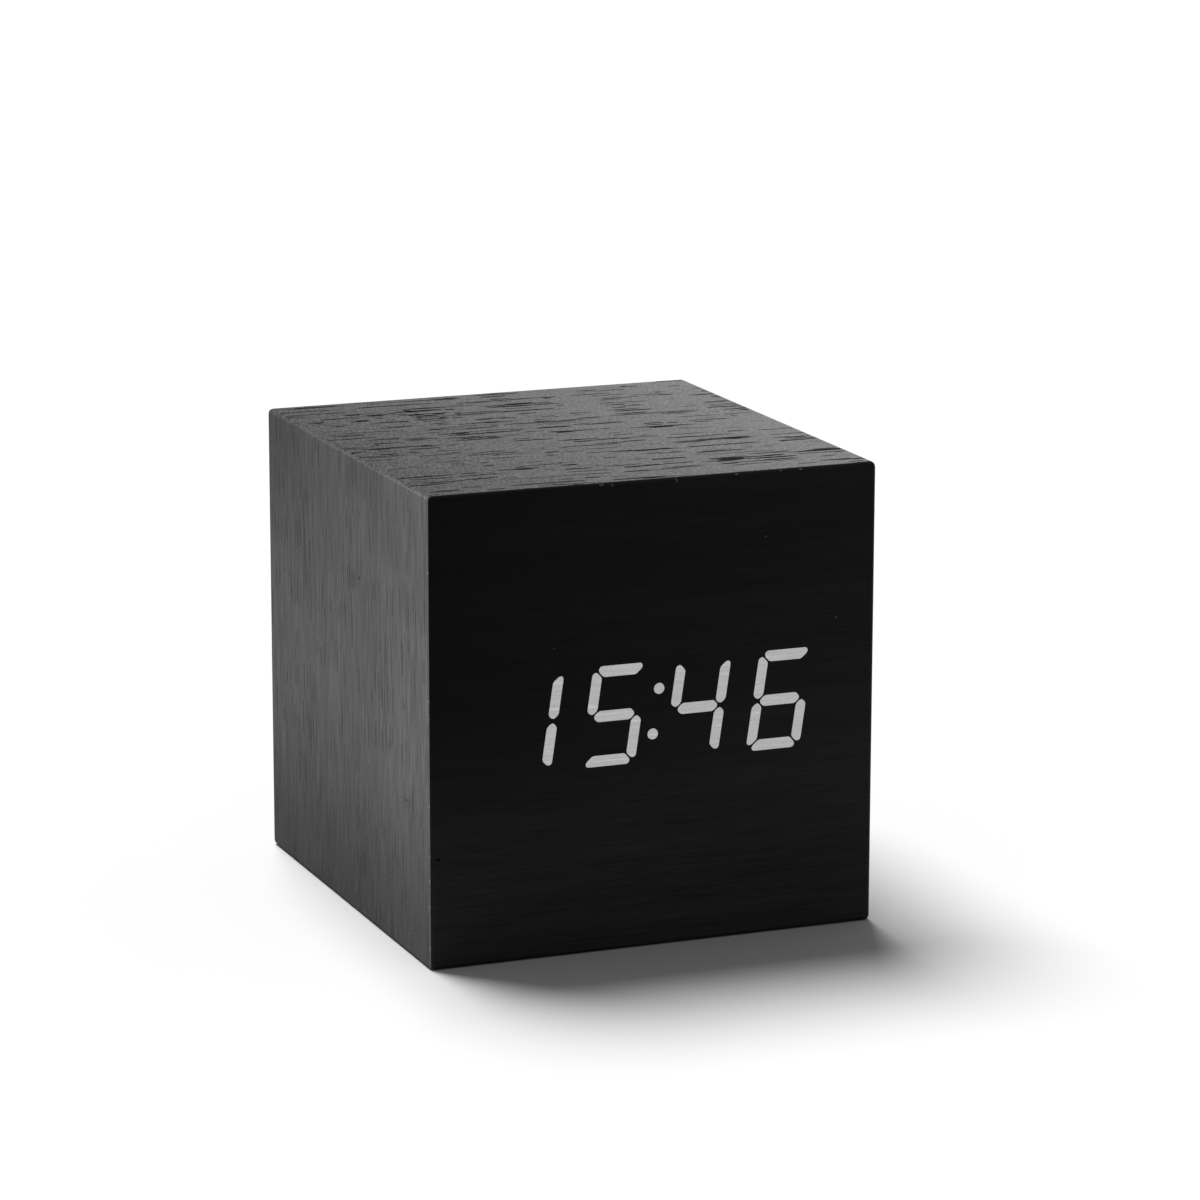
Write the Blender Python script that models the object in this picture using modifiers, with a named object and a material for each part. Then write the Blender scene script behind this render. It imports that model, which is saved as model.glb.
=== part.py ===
"""Small wooden cube alarm clock with a lit seven-segment face, built as separate pieces.

Metres, +Z up. The front face looks along -Y, and the origin is the middle of the underside.
"""

import math

import bmesh
import bpy
from mathutils import Euler, Matrix, Vector

# Case
CASE_WIDTH = 0.068
CASE_DEPTH = 0.071
CASE_HEIGHT = 0.068
EDGE_RADIUS = 0.00075
SIDE_VENEER = 0.0005
FRONT_VENEER = 0.0006
BACK_VENEER = 0.0005
SIDE_BOARD = 0.0055
FRONT_BOARD = 0.0035
BACK_BOARD = 0.0055

# Clearances: bonded, soldered or clamped faces, inset boards, seated parts, and how far a cutter runs on
BOND = 0.00005
BOARD_FIT = 0.0001
SEAT = 0.0003
OVERRUN = 0.002
WELD = 0.000001

# Display
DISPLAY_RIGHT = 0.0001
DISPLAY_HEIGHT = 0.03453
DIGIT_HEIGHT = 0.0145
DIGIT_SPACE = 0.00435
SLANT = math.radians(8.36)
UPRIGHT_WIDTH = 0.0015
LEVEL_WIDTH = 0.00157
SEGMENT_GAP = 0.00027
TIP_GAP = 0.00031
TIP_CUT = 0.0007
SEGMENT_CORNER = 0.00043
DOT_DIAMETER = 0.0016
DOT_SPACING = 0.00655
PIPE_FIT = 0.00004
LIT_RECESS = 0.00005
WINDOW_MARGIN = 0.0013
FRONT_FRAME = 0.00218
GUIDE_PLATE = 0.0006
GUIDE_RIM = 0.0008
LED_HEIGHT = 0.0008
LED_LENGTH = 0.0016
LED_WIDTH = 0.0008
LED_SPACE = 0.0003
DISPLAY_BOARD_LAP = 0.0015
DISPLAY_BOARD_HEIGHT = 0.028
DISPLAY_SCREW_INSET = 0.0026
SHOWN_TIME = "1546"
LIT_SEGMENTS = {
    "0": "abcdef", "1": "bc", "2": "abged", "3": "abgcd", "4": "fgbc",
    "5": "afgcd", "6": "afgecd", "7": "abc", "8": "abcdefg", "9": "abcdfg",
}

# Circuit boards and what stands on them
BOARD_THICKNESS = 0.0016
BOARD_EDGE = 0.001
PART_SPACING = 0.0004
ROW_SPACING = 0.0015
HEADER_WIDTH = 0.009
HEADER_HEIGHT = 0.003
HEADER_DEPTH = 0.0025
RIBBON_WIDTH = 0.007
RIBBON_THICKNESS = 0.0009
RIBBON_SAG = 0.006
CHIP_WIDTH = 0.0075
CHIP_LENGTH = 0.010
CHIP_HEIGHT = 0.0018
CHIP_LEG = 0.0012
CHIP_LEG_WIDTH = 0.0005
CHIP_LEG_THICKNESS = 0.0004
CHIP_LEGS = 7
CRYSTAL_DIAMETER = 0.003
CRYSTAL_LENGTH = 0.008
CRYSTAL_TOP_SHARE = 0.8
BUZZER_DIAMETER = 0.012
BUZZER_HEIGHT = 0.0065
BUZZER_EDGE = 0.0004
BUZZER_PORT = 0.0024
BUZZER_FLOOR_SHARE = 0.6
MICROPHONE_DIAMETER = 0.005
MICROPHONE_HEIGHT = 0.0026
MICROPHONE_FLOOR_SHARE = 0.85
MICROPHONE_MOUTH_SHARE = 0.75
SOCKET_SIZE = 0.008
SOCKET_NOSE = 0.006
SOCKET_BORE = 0.0036
SOCKET_DEPTH = 0.007
SOCKET_PIN = 0.0013
SOCKET_PIN_LENGTH = 0.005
SWITCH_SIZE = 0.006
SWITCH_HEIGHT = 0.0035
SWITCH_CORNER = 0.0004
PLUNGER_DIAMETER = 0.0034
PLUNGER_EDGE = 0.0002
PLUNGER_RISE = 0.0015
PLUNGER_ENGAGED = 0.0018
PLUNGER_FIT = 0.00015

# Control panel and buttons
PANEL_DROP = 0.0075
PANEL_RECESS = 0.0012
PANEL_THICKNESS = 0.0016
PANEL_CORNER = 0.002
PANEL_SIDE_LAP = 0.0024
PANEL_END_LAP = 0.0048
WINDOW_CLEARANCE = 0.0005
BUTTON_PITCH = 0.009
BUTTON_DIAMETER = 0.0062
BUTTON_FIT = 0.0002
BUTTON_PROUD = 0.0009
BUTTON_DISH = 0.0002
DISH_RADIUS_SHARE = 0.55
DISH_SLOPE_SHARE = 0.6
BUTTON_EDGE = 0.0004
BUTTON_FLANGE = 0.008
BUTTON_FLANGE_THICKNESS = 0.0008
STEM_DIAMETER = 0.003
STEM_LENGTH = 0.002
POST_DIAMETER = 0.004
SOUND_HOLE = 0.001
SOUND_RING = 0.003
SOUND_HOLES = 6
MICROPHONE_HOLE = 0.0012

# Screws
SCREW_HEAD = 0.0032
SCREW_HEAD_HEIGHT = 0.001
HEAD_TOP_SHARE = 0.62
HEAD_CROWN_SHARE = 0.94
HEAD_SIDE_SHARE = 0.45
SCREW_SHANK = 0.0016
SCREW_FIT = 0.0001
SCREW_TIP = 0.0008
SCREW_BITE = 0.0024
SINK_HEAD = 0.0034
SINK_HEAD_HEIGHT = 0.0011
SINK_RIM = 0.0002
SINK_DEPTH = 0.0001

# Battery bay
CELLS = 3
CELL_DIAMETER = 0.0105
CELL_LENGTH = 0.0445
CELL_GAP = 0.0004
CELL_EDGE = 0.0006
NIPPLE_DIAMETER = 0.0038
NIPPLE_LENGTH = 0.0009
CONTACT_THICKNESS = 0.0004
CONTACT_WIDTH = 0.009
CONTACT_HEIGHT = 0.008
CONTACT_CORNER = 0.0008
CONTACT_POCKET = 0.0001
TAB_WIDTH = 0.0024
TAB_RISE = 0.0025
SPRING_LENGTH = 0.0045
SPRING_WIRE = 0.0006
SPRING_BASE = 0.0058
SPRING_TIP = 0.0034
SPRING_TURNS = 3.5
RAIL_LAP = 0.0006
RAIL_STAND = 0.0006
RAIL_LIP = 0.0008
RAIL_FIT = 0.00015
SADDLE_THICKNESS = 0.0012
SADDLE_RISE = 0.0015
SADDLE_SPACING = 0.024
TRAY_RECESS = 0.0003
TRAY_WALL = 0.0012
TRAY_FLANGE = 0.0018
TRAY_SIDE_FLANGE = 0.0044
TRAY_END_FLANGE = 0.0025
TRAY_CORNER = 0.002
TRAY_SCREW_SPACING = 0.040
DOOR_THICKNESS = 0.0016
DOOR_LAP = 0.001
DOOR_GAP = 0.00025
DOOR_CORNER = 0.0006
TONGUE_WIDTH = 0.006
TONGUE_SPACING = 0.018
TONGUE_REACH = 0.001
TONGUE_LIFT = 0.0008
TONGUE_THICKNESS = 0.0004
LATCH_WIDTH = 0.010
LATCH_LENGTH = 0.009
LATCH_SLIT = 0.0008
LATCH_NOSE = 0.00015
GRIP_GROOVE = 0.0008
GRIP_DEPTH = 0.0004
GRIP_GROOVES = 3
LEAD_DIAMETER = 0.0013
LEAD_PAD_SPACING = 0.014
LEAD_PAD_EDGE = 0.0025
LEAD_RISE = 0.003
LEAD_RUN = 0.009

# Smoothness, in steps
ROUND_STEPS = 22
SMALL_ROUND_STEPS = 12
CORNER_STEPS = 4
CASE_EDGE_STEPS = 3
SADDLE_STEPS = 6
RIBBON_STEPS = 16
LEAD_STEPS = 18
SPRING_STEPS = 8

# Angles: one step of a segment's round corner, edges that a bevel rounds, and edges that stay sharp on a tube
SEGMENT_STEP = math.radians(45)
BEVEL_ANGLE = math.radians(50)
TUBE_SHARP_ANGLE = math.radians(65)

# Turns that point a piece's local Z axis: outlines drawn in X and Z, and axes to the back, front and floor
FACE_FRONT = Euler((math.radians(90), 0, 0))
FACE_BACK = Euler((math.radians(-90), 0, 0))
FACE_DOWN = Euler((math.radians(180), 0, 0))
FACE_SIDE = Euler((math.radians(90), 0, math.radians(90)))
UNTURNED = Euler((0, 0, 0))

# Places in the case, worked out from the sizes
half_width = CASE_WIDTH / 2
half_depth = CASE_DEPTH / 2
mid_height = CASE_HEIGHT / 2
board_face = SIDE_VENEER + BOND
wall = board_face + SIDE_BOARD
ring_front = -half_depth + FRONT_VENEER + BOND
ring_back = half_depth - BACK_VENEER - BOND
front_board_back = ring_front + FRONT_BOARD
back_board_front = ring_back - BACK_BOARD
inset_half_width = half_width - wall - BOARD_FIT
inset_half_height = mid_height - wall - BOARD_FIT

# Places in the display
lean = math.tan(SLANT)
digit_half_height = DIGIT_HEIGHT / 2
window_half_width = inset_half_width - FRONT_FRAME
window_half_height = digit_half_height + WINDOW_MARGIN
digits_width = 2 * (window_half_width - WINDOW_MARGIN - lean * digit_half_height)
digit_pitch = (digits_width + DIGIT_SPACE) / len(SHOWN_TIME)
digit_half_width = (digit_pitch - DIGIT_SPACE) / 2
display_half_run = (len(SHOWN_TIME) - 1) / 2 * digit_pitch
digit_places = [DISPLAY_RIGHT - display_half_run + k * digit_pitch for k in range(len(SHOWN_TIME))]
display_board_half_width = window_half_width + DISPLAY_BOARD_LAP
display_board_front = front_board_back + SEAT
display_board_back = display_board_front + BOARD_THICKNESS
guide_back = display_board_front - LED_HEIGHT - LED_SPACE
guide_front = guide_back - GUIDE_PLATE
guide_middle = (guide_front + guide_back) / 2
mask_back = guide_front - BOND
lit_face = -half_depth + LIT_RECESS

# Places behind the control panel
panel_back = half_depth - PANEL_RECESS
panel_front = panel_back - PANEL_THICKNESS
flange_back = panel_front - BOND
stem_front = flange_back - BUTTON_FLANGE_THICKNESS - STEM_LENGTH
plunger_back = stem_front - BOND
switch_back = plunger_back - PLUNGER_RISE
main_board_back = switch_back - SWITCH_HEIGHT - BOND
main_board_front = main_board_back - BOARD_THICKNESS
lower_row_half = max(SWITCH_SIZE, BUTTON_FLANGE) / 2
upper_row_half = max(BUZZER_DIAMETER, SOCKET_SIZE, MICROPHONE_DIAMETER) / 2
post_right = BUTTON_PITCH + lower_row_half + PART_SPACING + POST_DIAMETER / 2
main_half_width = post_right + POST_DIAMETER / 2 + BOARD_EDGE
main_half_height = BOARD_EDGE + lower_row_half + ROW_SPACING / 2 + upper_row_half
opening_half_width = main_half_width + WINDOW_CLEARANCE
opening_half_height = main_half_height + WINDOW_CLEARANCE
panel_half_width = opening_half_width + PANEL_SIDE_LAP
panel_half_height = opening_half_height + PANEL_END_LAP
panel_height = CASE_HEIGHT - PANEL_DROP - panel_half_height
panel_screw_rise = opening_half_height + PANEL_END_LAP / 2
main_bottom = panel_height - main_half_height
main_top = panel_height + main_half_height
lower_row = main_bottom + BOARD_EDGE + lower_row_half
upper_row = main_top - BOARD_EDGE - upper_row_half
post_height = main_bottom + BOARD_EDGE + POST_DIAMETER / 2
buzzer_right = -main_half_width + BOARD_EDGE + BUZZER_DIAMETER / 2
socket_right = main_half_width - BOARD_EDGE - SOCKET_SIZE / 2
microphone_right = (buzzer_right + BUZZER_DIAMETER / 2 + socket_right - SOCKET_SIZE / 2) / 2
button_places = {"set": -BUTTON_PITCH, "up": 0, "down": BUTTON_PITCH}

# Places in the battery bay
cell_pitch = CELL_DIAMETER + CELL_GAP
bay_half_width = (CELLS * cell_pitch + CELL_GAP) / 2
bay_half_length = (CELL_LENGTH + SPRING_LENGTH) / 2 + CONTACT_THICKNESS + SEAT
contact_face = bay_half_length - CONTACT_THICKNESS
door_inside = TRAY_RECESS + DOOR_THICKNESS
door_seat = door_inside + SEAT
cell_height = door_seat + CELL_DIAMETER / 2
bay_ceiling = cell_height + CELL_DIAMETER / 2 + SEAT
tray_top = bay_ceiling + TRAY_WALL
door_half_width = bay_half_width + DOOR_LAP
door_half_length = bay_half_length + DOOR_LAP
rim_half_width = door_half_width + DOOR_GAP + TRAY_WALL
rim_half_length = door_half_length + DOOR_GAP + TRAY_WALL
rim_top = door_seat + TRAY_WALL
flange_top = TRAY_RECESS + TRAY_FLANGE
flange_half_width = rim_half_width + TRAY_SIDE_FLANGE
flange_half_length = rim_half_length + TRAY_END_FLANGE
tray_screw_right = rim_half_width + TRAY_SIDE_FLANGE / 2
tab_top = tray_top + TAB_RISE
cell_places = [(k - (CELLS - 1) / 2) * cell_pitch for k in range(CELLS)]

# Starts from an empty scene with one collection for the clock and one for its cutters
for leftover in list(bpy.data.objects):
    bpy.data.objects.remove(leftover, do_unlink=True)
clock = bpy.data.collections.new("wooden_alarm_clock")
cutters = bpy.data.collections.new("cutters")
for collection in (clock, cutters):
    bpy.context.scene.collection.children.link(collection)


def finish(name, colour, roughness, metallic=0.0):
    """A plain material with one colour."""
    material = bpy.data.materials.new(name)
    material.use_nodes = True
    shader = material.node_tree.nodes["Principled BSDF"]
    shader.inputs["Base Color"].default_value = (*colour, 1)
    shader.inputs["Roughness"].default_value = roughness
    shader.inputs["Metallic"].default_value = metallic
    return material


# Materials
dark_veneer = finish("dark_veneer", (0.016, 0.016, 0.017), 0.5)
grey_veneer = finish("grey_veneer", (0.10, 0.10, 0.10), 0.45)
fibreboard = finish("fibreboard", (0.32, 0.22, 0.13), 0.85)
black_plastic = finish("black_plastic", (0.015, 0.015, 0.016), 0.45)
white_plastic = finish("white_plastic", (0.75, 0.75, 0.73), 0.5)
lit_diffuser = finish("lit_diffuser", (0.55, 0.56, 0.57), 0.55)
circuit_board = finish("circuit_board", (0.02, 0.16, 0.06), 0.4)
chip_plastic = finish("chip_plastic", (0.02, 0.02, 0.02), 0.5)
grey_cable = finish("grey_cable", (0.42, 0.42, 0.43), 0.5)
red_wire = finish("red_wire", (0.5, 0.02, 0.02), 0.45)
black_wire = finish("black_wire", (0.015, 0.015, 0.015), 0.45)
plated_steel = finish("plated_steel", (0.65, 0.65, 0.66), 0.3, 1.0)
cell_label = finish("cell_label", (0.06, 0.16, 0.10), 0.35, 0.4)


def hide_as_cutter(piece):
    """Moves a piece among the cutters, out of the render."""
    cutters.objects.link(piece)
    piece.hide_render = True
    piece.display_type = "WIRE"
    return piece


def show_as_part(piece, material):
    """Puts a piece among the clock's own with its material."""
    clock.objects.link(piece)
    piece.data.materials.append(material)
    return piece


def placed(name, mesh, place, turn=UNTURNED):
    """An object for a mesh, at its place and turn."""
    piece = bpy.data.objects.new(name, mesh)
    piece.location = place
    piece.rotation_euler = turn
    return piece


def mesh_of_curve(name, curve):
    """The mesh of a curve, with its caps welded on and its faces pointing out."""
    carrier = bpy.data.objects.new(name, curve)
    bpy.context.scene.collection.objects.link(carrier)
    graph = bpy.context.evaluated_depsgraph_get()
    mesh = bpy.data.meshes.new_from_object(carrier.evaluated_get(graph))
    bpy.data.objects.remove(carrier, do_unlink=True)
    mesh.name = name
    shape = bmesh.new()
    shape.from_mesh(mesh)
    bmesh.ops.remove_doubles(shape, verts=shape.verts, dist=WELD)
    bmesh.ops.recalc_face_normals(shape, faces=shape.faces)
    if curve.dimensions == "2D":
        flat = [face for face in shape.faces if abs(face.normal.z) > 1 / 2]
        inner_edges = [edge for edge in shape.edges if all(abs(f.normal.z) > 1 / 2 for f in edge.link_faces)]
        bmesh.ops.beautify_fill(shape, faces=flat, edges=inner_edges, method="ANGLE")
    shape.to_mesh(mesh)
    shape.free()
    return mesh


def plate_mesh(name, outlines, thickness):
    """Flat outlines, a hole where one lies in another, with half the thickness on each side of them."""
    curve = bpy.data.curves.new(name, "CURVE")
    curve.dimensions = "2D"
    curve.fill_mode = "BOTH"
    curve.extrude = thickness / 2
    for outline in outlines:
        spline = curve.splines.new("POLY")
        spline.points.add(len(outline) - 1)
        spline.use_cyclic_u = True
        for point, (across, up) in zip(spline.points, outline):
            point.co = (across, up, 0, 1)
    return mesh_of_curve(name, curve)


def tube_mesh(name, points, diameter, bevel_resolution):
    """A round tube along the points, closed at both ends."""
    curve = bpy.data.curves.new(name, "CURVE")
    curve.dimensions = "3D"
    curve.bevel_depth = diameter / 2
    curve.bevel_resolution = bevel_resolution
    curve.use_fill_caps = True
    spline = curve.splines.new("POLY")
    spline.points.add(len(points) - 1)
    for point, place in zip(spline.points, points):
        point.co = (*place, 1)
    mesh = mesh_of_curve(name, curve)
    mesh.shade_smooth()
    mesh.set_sharp_from_angle(angle=TUBE_SHARP_ANGLE)
    return mesh


def block_mesh(name, boxes):
    """One mesh of boxes, each given by its lowest and highest corner."""
    shape = bmesh.new()
    for low, high in boxes:
        size = Vector(high) - Vector(low)
        middle = (Vector(high) + Vector(low)) / 2
        bmesh.ops.create_cube(shape, size=1, matrix=Matrix.Translation(middle) @ Matrix.Diagonal((*size, 1)))
    mesh = bpy.data.meshes.new(name)
    shape.to_mesh(mesh)
    shape.free()
    return mesh


def pin_mesh(name, pins, steps=SMALL_ROUND_STEPS):
    """One mesh of pins along Z, each given by its place in X and Y, lower and upper end, and two radii."""
    shape = bmesh.new()
    for (across, along), (low, high), (low_radius, high_radius) in pins:
        middle = Matrix.Translation((across, along, (low + high) / 2))
        bmesh.ops.create_cone(shape, cap_ends=True, segments=steps, radius1=low_radius, radius2=high_radius,
                              depth=high - low, matrix=middle)
    mesh = bpy.data.meshes.new(name)
    shape.to_mesh(mesh)
    shape.free()
    return mesh


def turned(name, profile, place, turn, steps=ROUND_STEPS):
    """A piece turned about its local Z axis from (radius, height) points that run from the top down."""
    mesh = bpy.data.meshes.new(name)
    points = [(radius, 0, height) for radius, height in profile]
    mesh.from_pydata(points, [(k, k + 1) for k in range(len(points) - 1)], [])
    piece = placed(name, mesh, place, turn)
    screw = piece.modifiers.new("turn", "SCREW")
    screw.steps = screw.render_steps = steps
    screw.use_merge_vertices = True
    screw.merge_threshold = WELD
    return piece


def soften(piece, width, segments=2):
    """Rounds the sharp edges of a piece."""
    bevel = piece.modifiers.new("soften", "BEVEL")
    bevel.width = width
    bevel.segments = segments
    bevel.limit_method = "ANGLE"
    bevel.angle_limit = BEVEL_ANGLE


def combine(piece, other, operation):
    """Adds a live Boolean with another object, which stays among the cutters."""
    boolean = piece.modifiers.new(operation.lower() + "_" + other.name, "BOOLEAN")
    boolean.operation = operation
    boolean.solver = "EXACT"
    boolean.object = other


def cut(piece, other):
    combine(piece, other, "DIFFERENCE")


def join(piece, other):
    combine(piece, other, "UNION")


def arc(centre, radius, start, end, steps):
    """Points of an arc, both ends included."""
    angles = [start + (end - start) * k / steps for k in range(steps + 1)]
    return [(centre[0] + radius * math.cos(a), centre[1] + radius * math.sin(a)) for a in angles]


def circle(centre, diameter, steps=SMALL_ROUND_STEPS):
    return arc(centre, diameter / 2, 0, math.tau, steps)[:-1]


def rectangle(low, high):
    return [(low[0], low[1]), (high[0], low[1]), (high[0], high[1]), (low[0], high[1])]


def rounded_rectangle(half_across, half_up, radius, centre=(0, 0)):
    """A rectangle with round corners about a centre."""
    points = []
    for quarter, (right, up) in enumerate(((1, 1), (-1, 1), (-1, -1), (1, -1))):
        corner = (centre[0] + right * (half_across - radius), centre[1] + up * (half_up - radius))
        start = quarter * math.pi / 2
        points += arc(corner, radius, start, start + math.pi / 2, CORNER_STEPS)
    return points


def spaced(count, spacing):
    """Places about zero at an even spacing."""
    return [(k - (count - 1) / 2) * spacing for k in range(count)]


# Outlines of the segments


def grown(points, distance):
    """A convex outline, listed anticlockwise, with each side moved out by a distance."""
    corners = [Vector(point) for point in points]
    moved = []
    for before, corner, after in zip(corners[-1:] + corners[:-1], corners, corners[1:] + corners[:1]):
        first = (corner - before).normalized()
        second = (after - corner).normalized()
        out_first = Vector((first.y, -first.x))
        out_second = Vector((second.y, -second.x))
        moved.append(corner + (out_first + out_second) * distance / (1 + out_first.dot(out_second)))
    return moved


def rounded(points, radius):
    """A convex outline, listed anticlockwise, with each corner turned into an arc."""
    corners = [Vector(point) for point in points]
    result = []
    for before, corner, after in zip(corners[-1:] + corners[:-1], corners, corners[1:] + corners[:1]):
        first = (corner - before).normalized()
        second = (after - corner).normalized()
        turn = math.acos(max(-1, min(1, first.dot(second))))
        start = corner - first * radius * math.tan(turn / 2)
        centre = start + Vector((-first.y, first.x)) * radius
        steps = max(1, round(turn / SEGMENT_STEP))
        begin = math.atan2(start.y - centre.y, start.x - centre.x)
        result += arc(centre, radius, begin, begin + turn, steps)
    return result


def mirrored(points, across, up):
    """An outline flipped across and up as asked, still listed anticlockwise."""
    flipped = [(across * x, up * y) for x, y in points]
    return flipped[::-1] if across * up < 0 else flipped


def segment_shapes():
    """Outlines of the seven segments about a digit's centre, with cut tips, before slant and rounding."""
    spine = digit_half_width - UPRIGHT_WIDTH / 2
    inner = digit_half_width - UPRIGHT_WIDTH
    mitre = SEGMENT_GAP / math.sqrt(2)
    tip = TIP_GAP / 2
    shoulder = tip + UPRIGHT_WIDTH / 2
    low = digit_half_height - LEVEL_WIDTH
    outer_end = digit_half_width - mitre
    inner_end = outer_end - LEVEL_WIDTH
    cut_end = outer_end - TIP_CUT
    level = [
        (-inner_end, low), (inner_end, low),
        (cut_end, digit_half_height - TIP_CUT), (cut_end, digit_half_height),
        (-cut_end, digit_half_height), (-cut_end, digit_half_height - TIP_CUT),
    ]
    top = digit_half_height - mitre
    upright = [
        (spine, tip),
        (digit_half_width, shoulder),
        (digit_half_width, top - TIP_CUT), (digit_half_width - TIP_CUT, top - TIP_CUT),
        (inner, top - UPRIGHT_WIDTH),
        (inner, shoulder),
    ]
    reach = spine + tip - SEGMENT_GAP * math.sqrt(2)
    half_level = LEVEL_WIDTH / 2
    bar = reach - half_level
    middle = [
        (-reach, 0), (-bar, -half_level), (bar, -half_level),
        (reach, 0), (bar, half_level), (-bar, half_level),
    ]
    return {
        "a": level,
        "b": upright,
        "c": mirrored(upright, 1, -1),
        "d": mirrored(level, 1, -1),
        "e": mirrored(upright, -1, -1),
        "f": mirrored(upright, -1, 1),
        "g": middle,
    }


def slanted(points, place):
    """Leans an outline by the digits' slant and moves it to its place across the display."""
    return [(place + x + y * lean, y) for x, y in points]


def lit_outlines(place, digit, fit=0):
    """The outlines of a digit's lit segments, grown by a fit, with round corners."""
    shapes = segment_shapes()
    letters = LIT_SEGMENTS[digit]
    return [slanted(rounded(grown(shapes[letter], fit), SEGMENT_CORNER + fit), place) for letter in letters]


def unlit_outlines(place, digit, fit=0):
    """The outlines of a digit's other segments, grown by a fit, with sharp corners."""
    shapes = segment_shapes()
    letters = [letter for letter in shapes if letter not in LIT_SEGMENTS[digit]]
    return [slanted(grown(shapes[letter], fit), place) for letter in letters]


def colon_outlines(fit=0):
    """The outlines of the two dots, grown by a fit."""
    dots = [(DISPLAY_RIGHT + up * lean, up) for up in spaced(2, DOT_SPACING)]
    return [circle(dot, DOT_DIAMETER + 2 * fit) for dot in dots]


# Case

outer_box = ((-half_width, -half_depth, 0), (half_width, half_depth, CASE_HEIGHT))
envelope = hide_as_cutter(placed("envelope", block_mesh("envelope", [outer_box]), (0, 0, 0)))
soften(envelope, EDGE_RADIUS, CASE_EDGE_STEPS)


def mitred_section(corner, high, low):
    """Section of one side of the case: mitred ends on the diagonal through the case's corner."""
    run, rise = corner
    setback = BOND / math.sqrt(2)
    long_half = run + high - rise - setback
    short_half = run + low - rise - setback
    return [(-short_half, low), (short_half, low), (long_half, high), (-long_half, high)]


def case_side(name, quarter, high_inset, low_inset, material):
    """One mitred side of the ring between two depths below its face, a number of quarter turns from the top."""
    corner = (half_width, mid_height) if quarter % 2 == 0 else (mid_height, half_width)
    rise = corner[1]
    section = mitred_section(corner, rise - high_inset, rise - low_inset)
    turn = -quarter * math.pi / 2
    cosine = round(math.cos(turn))
    sine = round(math.sin(turn))
    outline = [(x * cosine - y * sine, x * sine + y * cosine) for x, y in section]
    mesh = plate_mesh(name, [outline], ring_back - ring_front)
    place = (0, (ring_front + ring_back) / 2, mid_height)
    return show_as_part(placed(name, mesh, place, FACE_FRONT), material)


def tray_rebate():
    """The sunk seat of the battery tray's flange, open below."""
    outline = rounded_rectangle(flange_half_width + SEAT, flange_half_length + SEAT, TRAY_CORNER + SEAT)
    seat = flange_top + SEAT
    mesh = plate_mesh("tray_rebate", [outline], seat + OVERRUN)
    return hide_as_cutter(placed("tray_rebate", mesh, (0, 0, (seat - OVERRUN) / 2)))


def tray_opening():
    """The hole that the tray's body passes through."""
    low = (-rim_half_width - SEAT, -rim_half_length - SEAT, -OVERRUN)
    high = (rim_half_width + SEAT, rim_half_length + SEAT, wall + OVERRUN)
    return hide_as_cutter(placed("tray_opening", block_mesh("tray_opening", [(low, high)]), (0, 0, 0)))


def tray_pilots():
    """Pilot holes of the four tray screws."""
    reach = flange_top + SEAT + SCREW_BITE
    radius = SCREW_SHANK / 2 + SCREW_FIT
    pins = [((x, y), (-OVERRUN, reach + SCREW_FIT), (radius, radius)) for x, y in tray_screw_places()]
    return hide_as_cutter(placed("tray_pilots", pin_mesh("tray_pilots", pins), (0, 0, 0)))


def tray_screw_places():
    return [(x, y) for x in (-tray_screw_right, tray_screw_right) for y in spaced(2, TRAY_SCREW_SPACING)]


def panel_rebate():
    """The sunk seat of the control panel, open at the back."""
    outline = rounded_rectangle(panel_half_width + SEAT, panel_half_height + SEAT, PANEL_CORNER + SEAT)
    seat = panel_front - SEAT
    end = half_depth + OVERRUN
    mesh = plate_mesh("panel_rebate", [outline], end - seat)
    return hide_as_cutter(placed("panel_rebate", mesh, (0, (end + seat) / 2, panel_height), FACE_FRONT))


def display_screw_places():
    """Two opposite corners of the display board."""
    across = display_board_half_width - DISPLAY_SCREW_INSET
    up = DISPLAY_BOARD_HEIGHT / 2 - DISPLAY_SCREW_INSET
    return {"left": (DISPLAY_RIGHT - across, up), "right": (DISPLAY_RIGHT + across, -up)}


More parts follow.
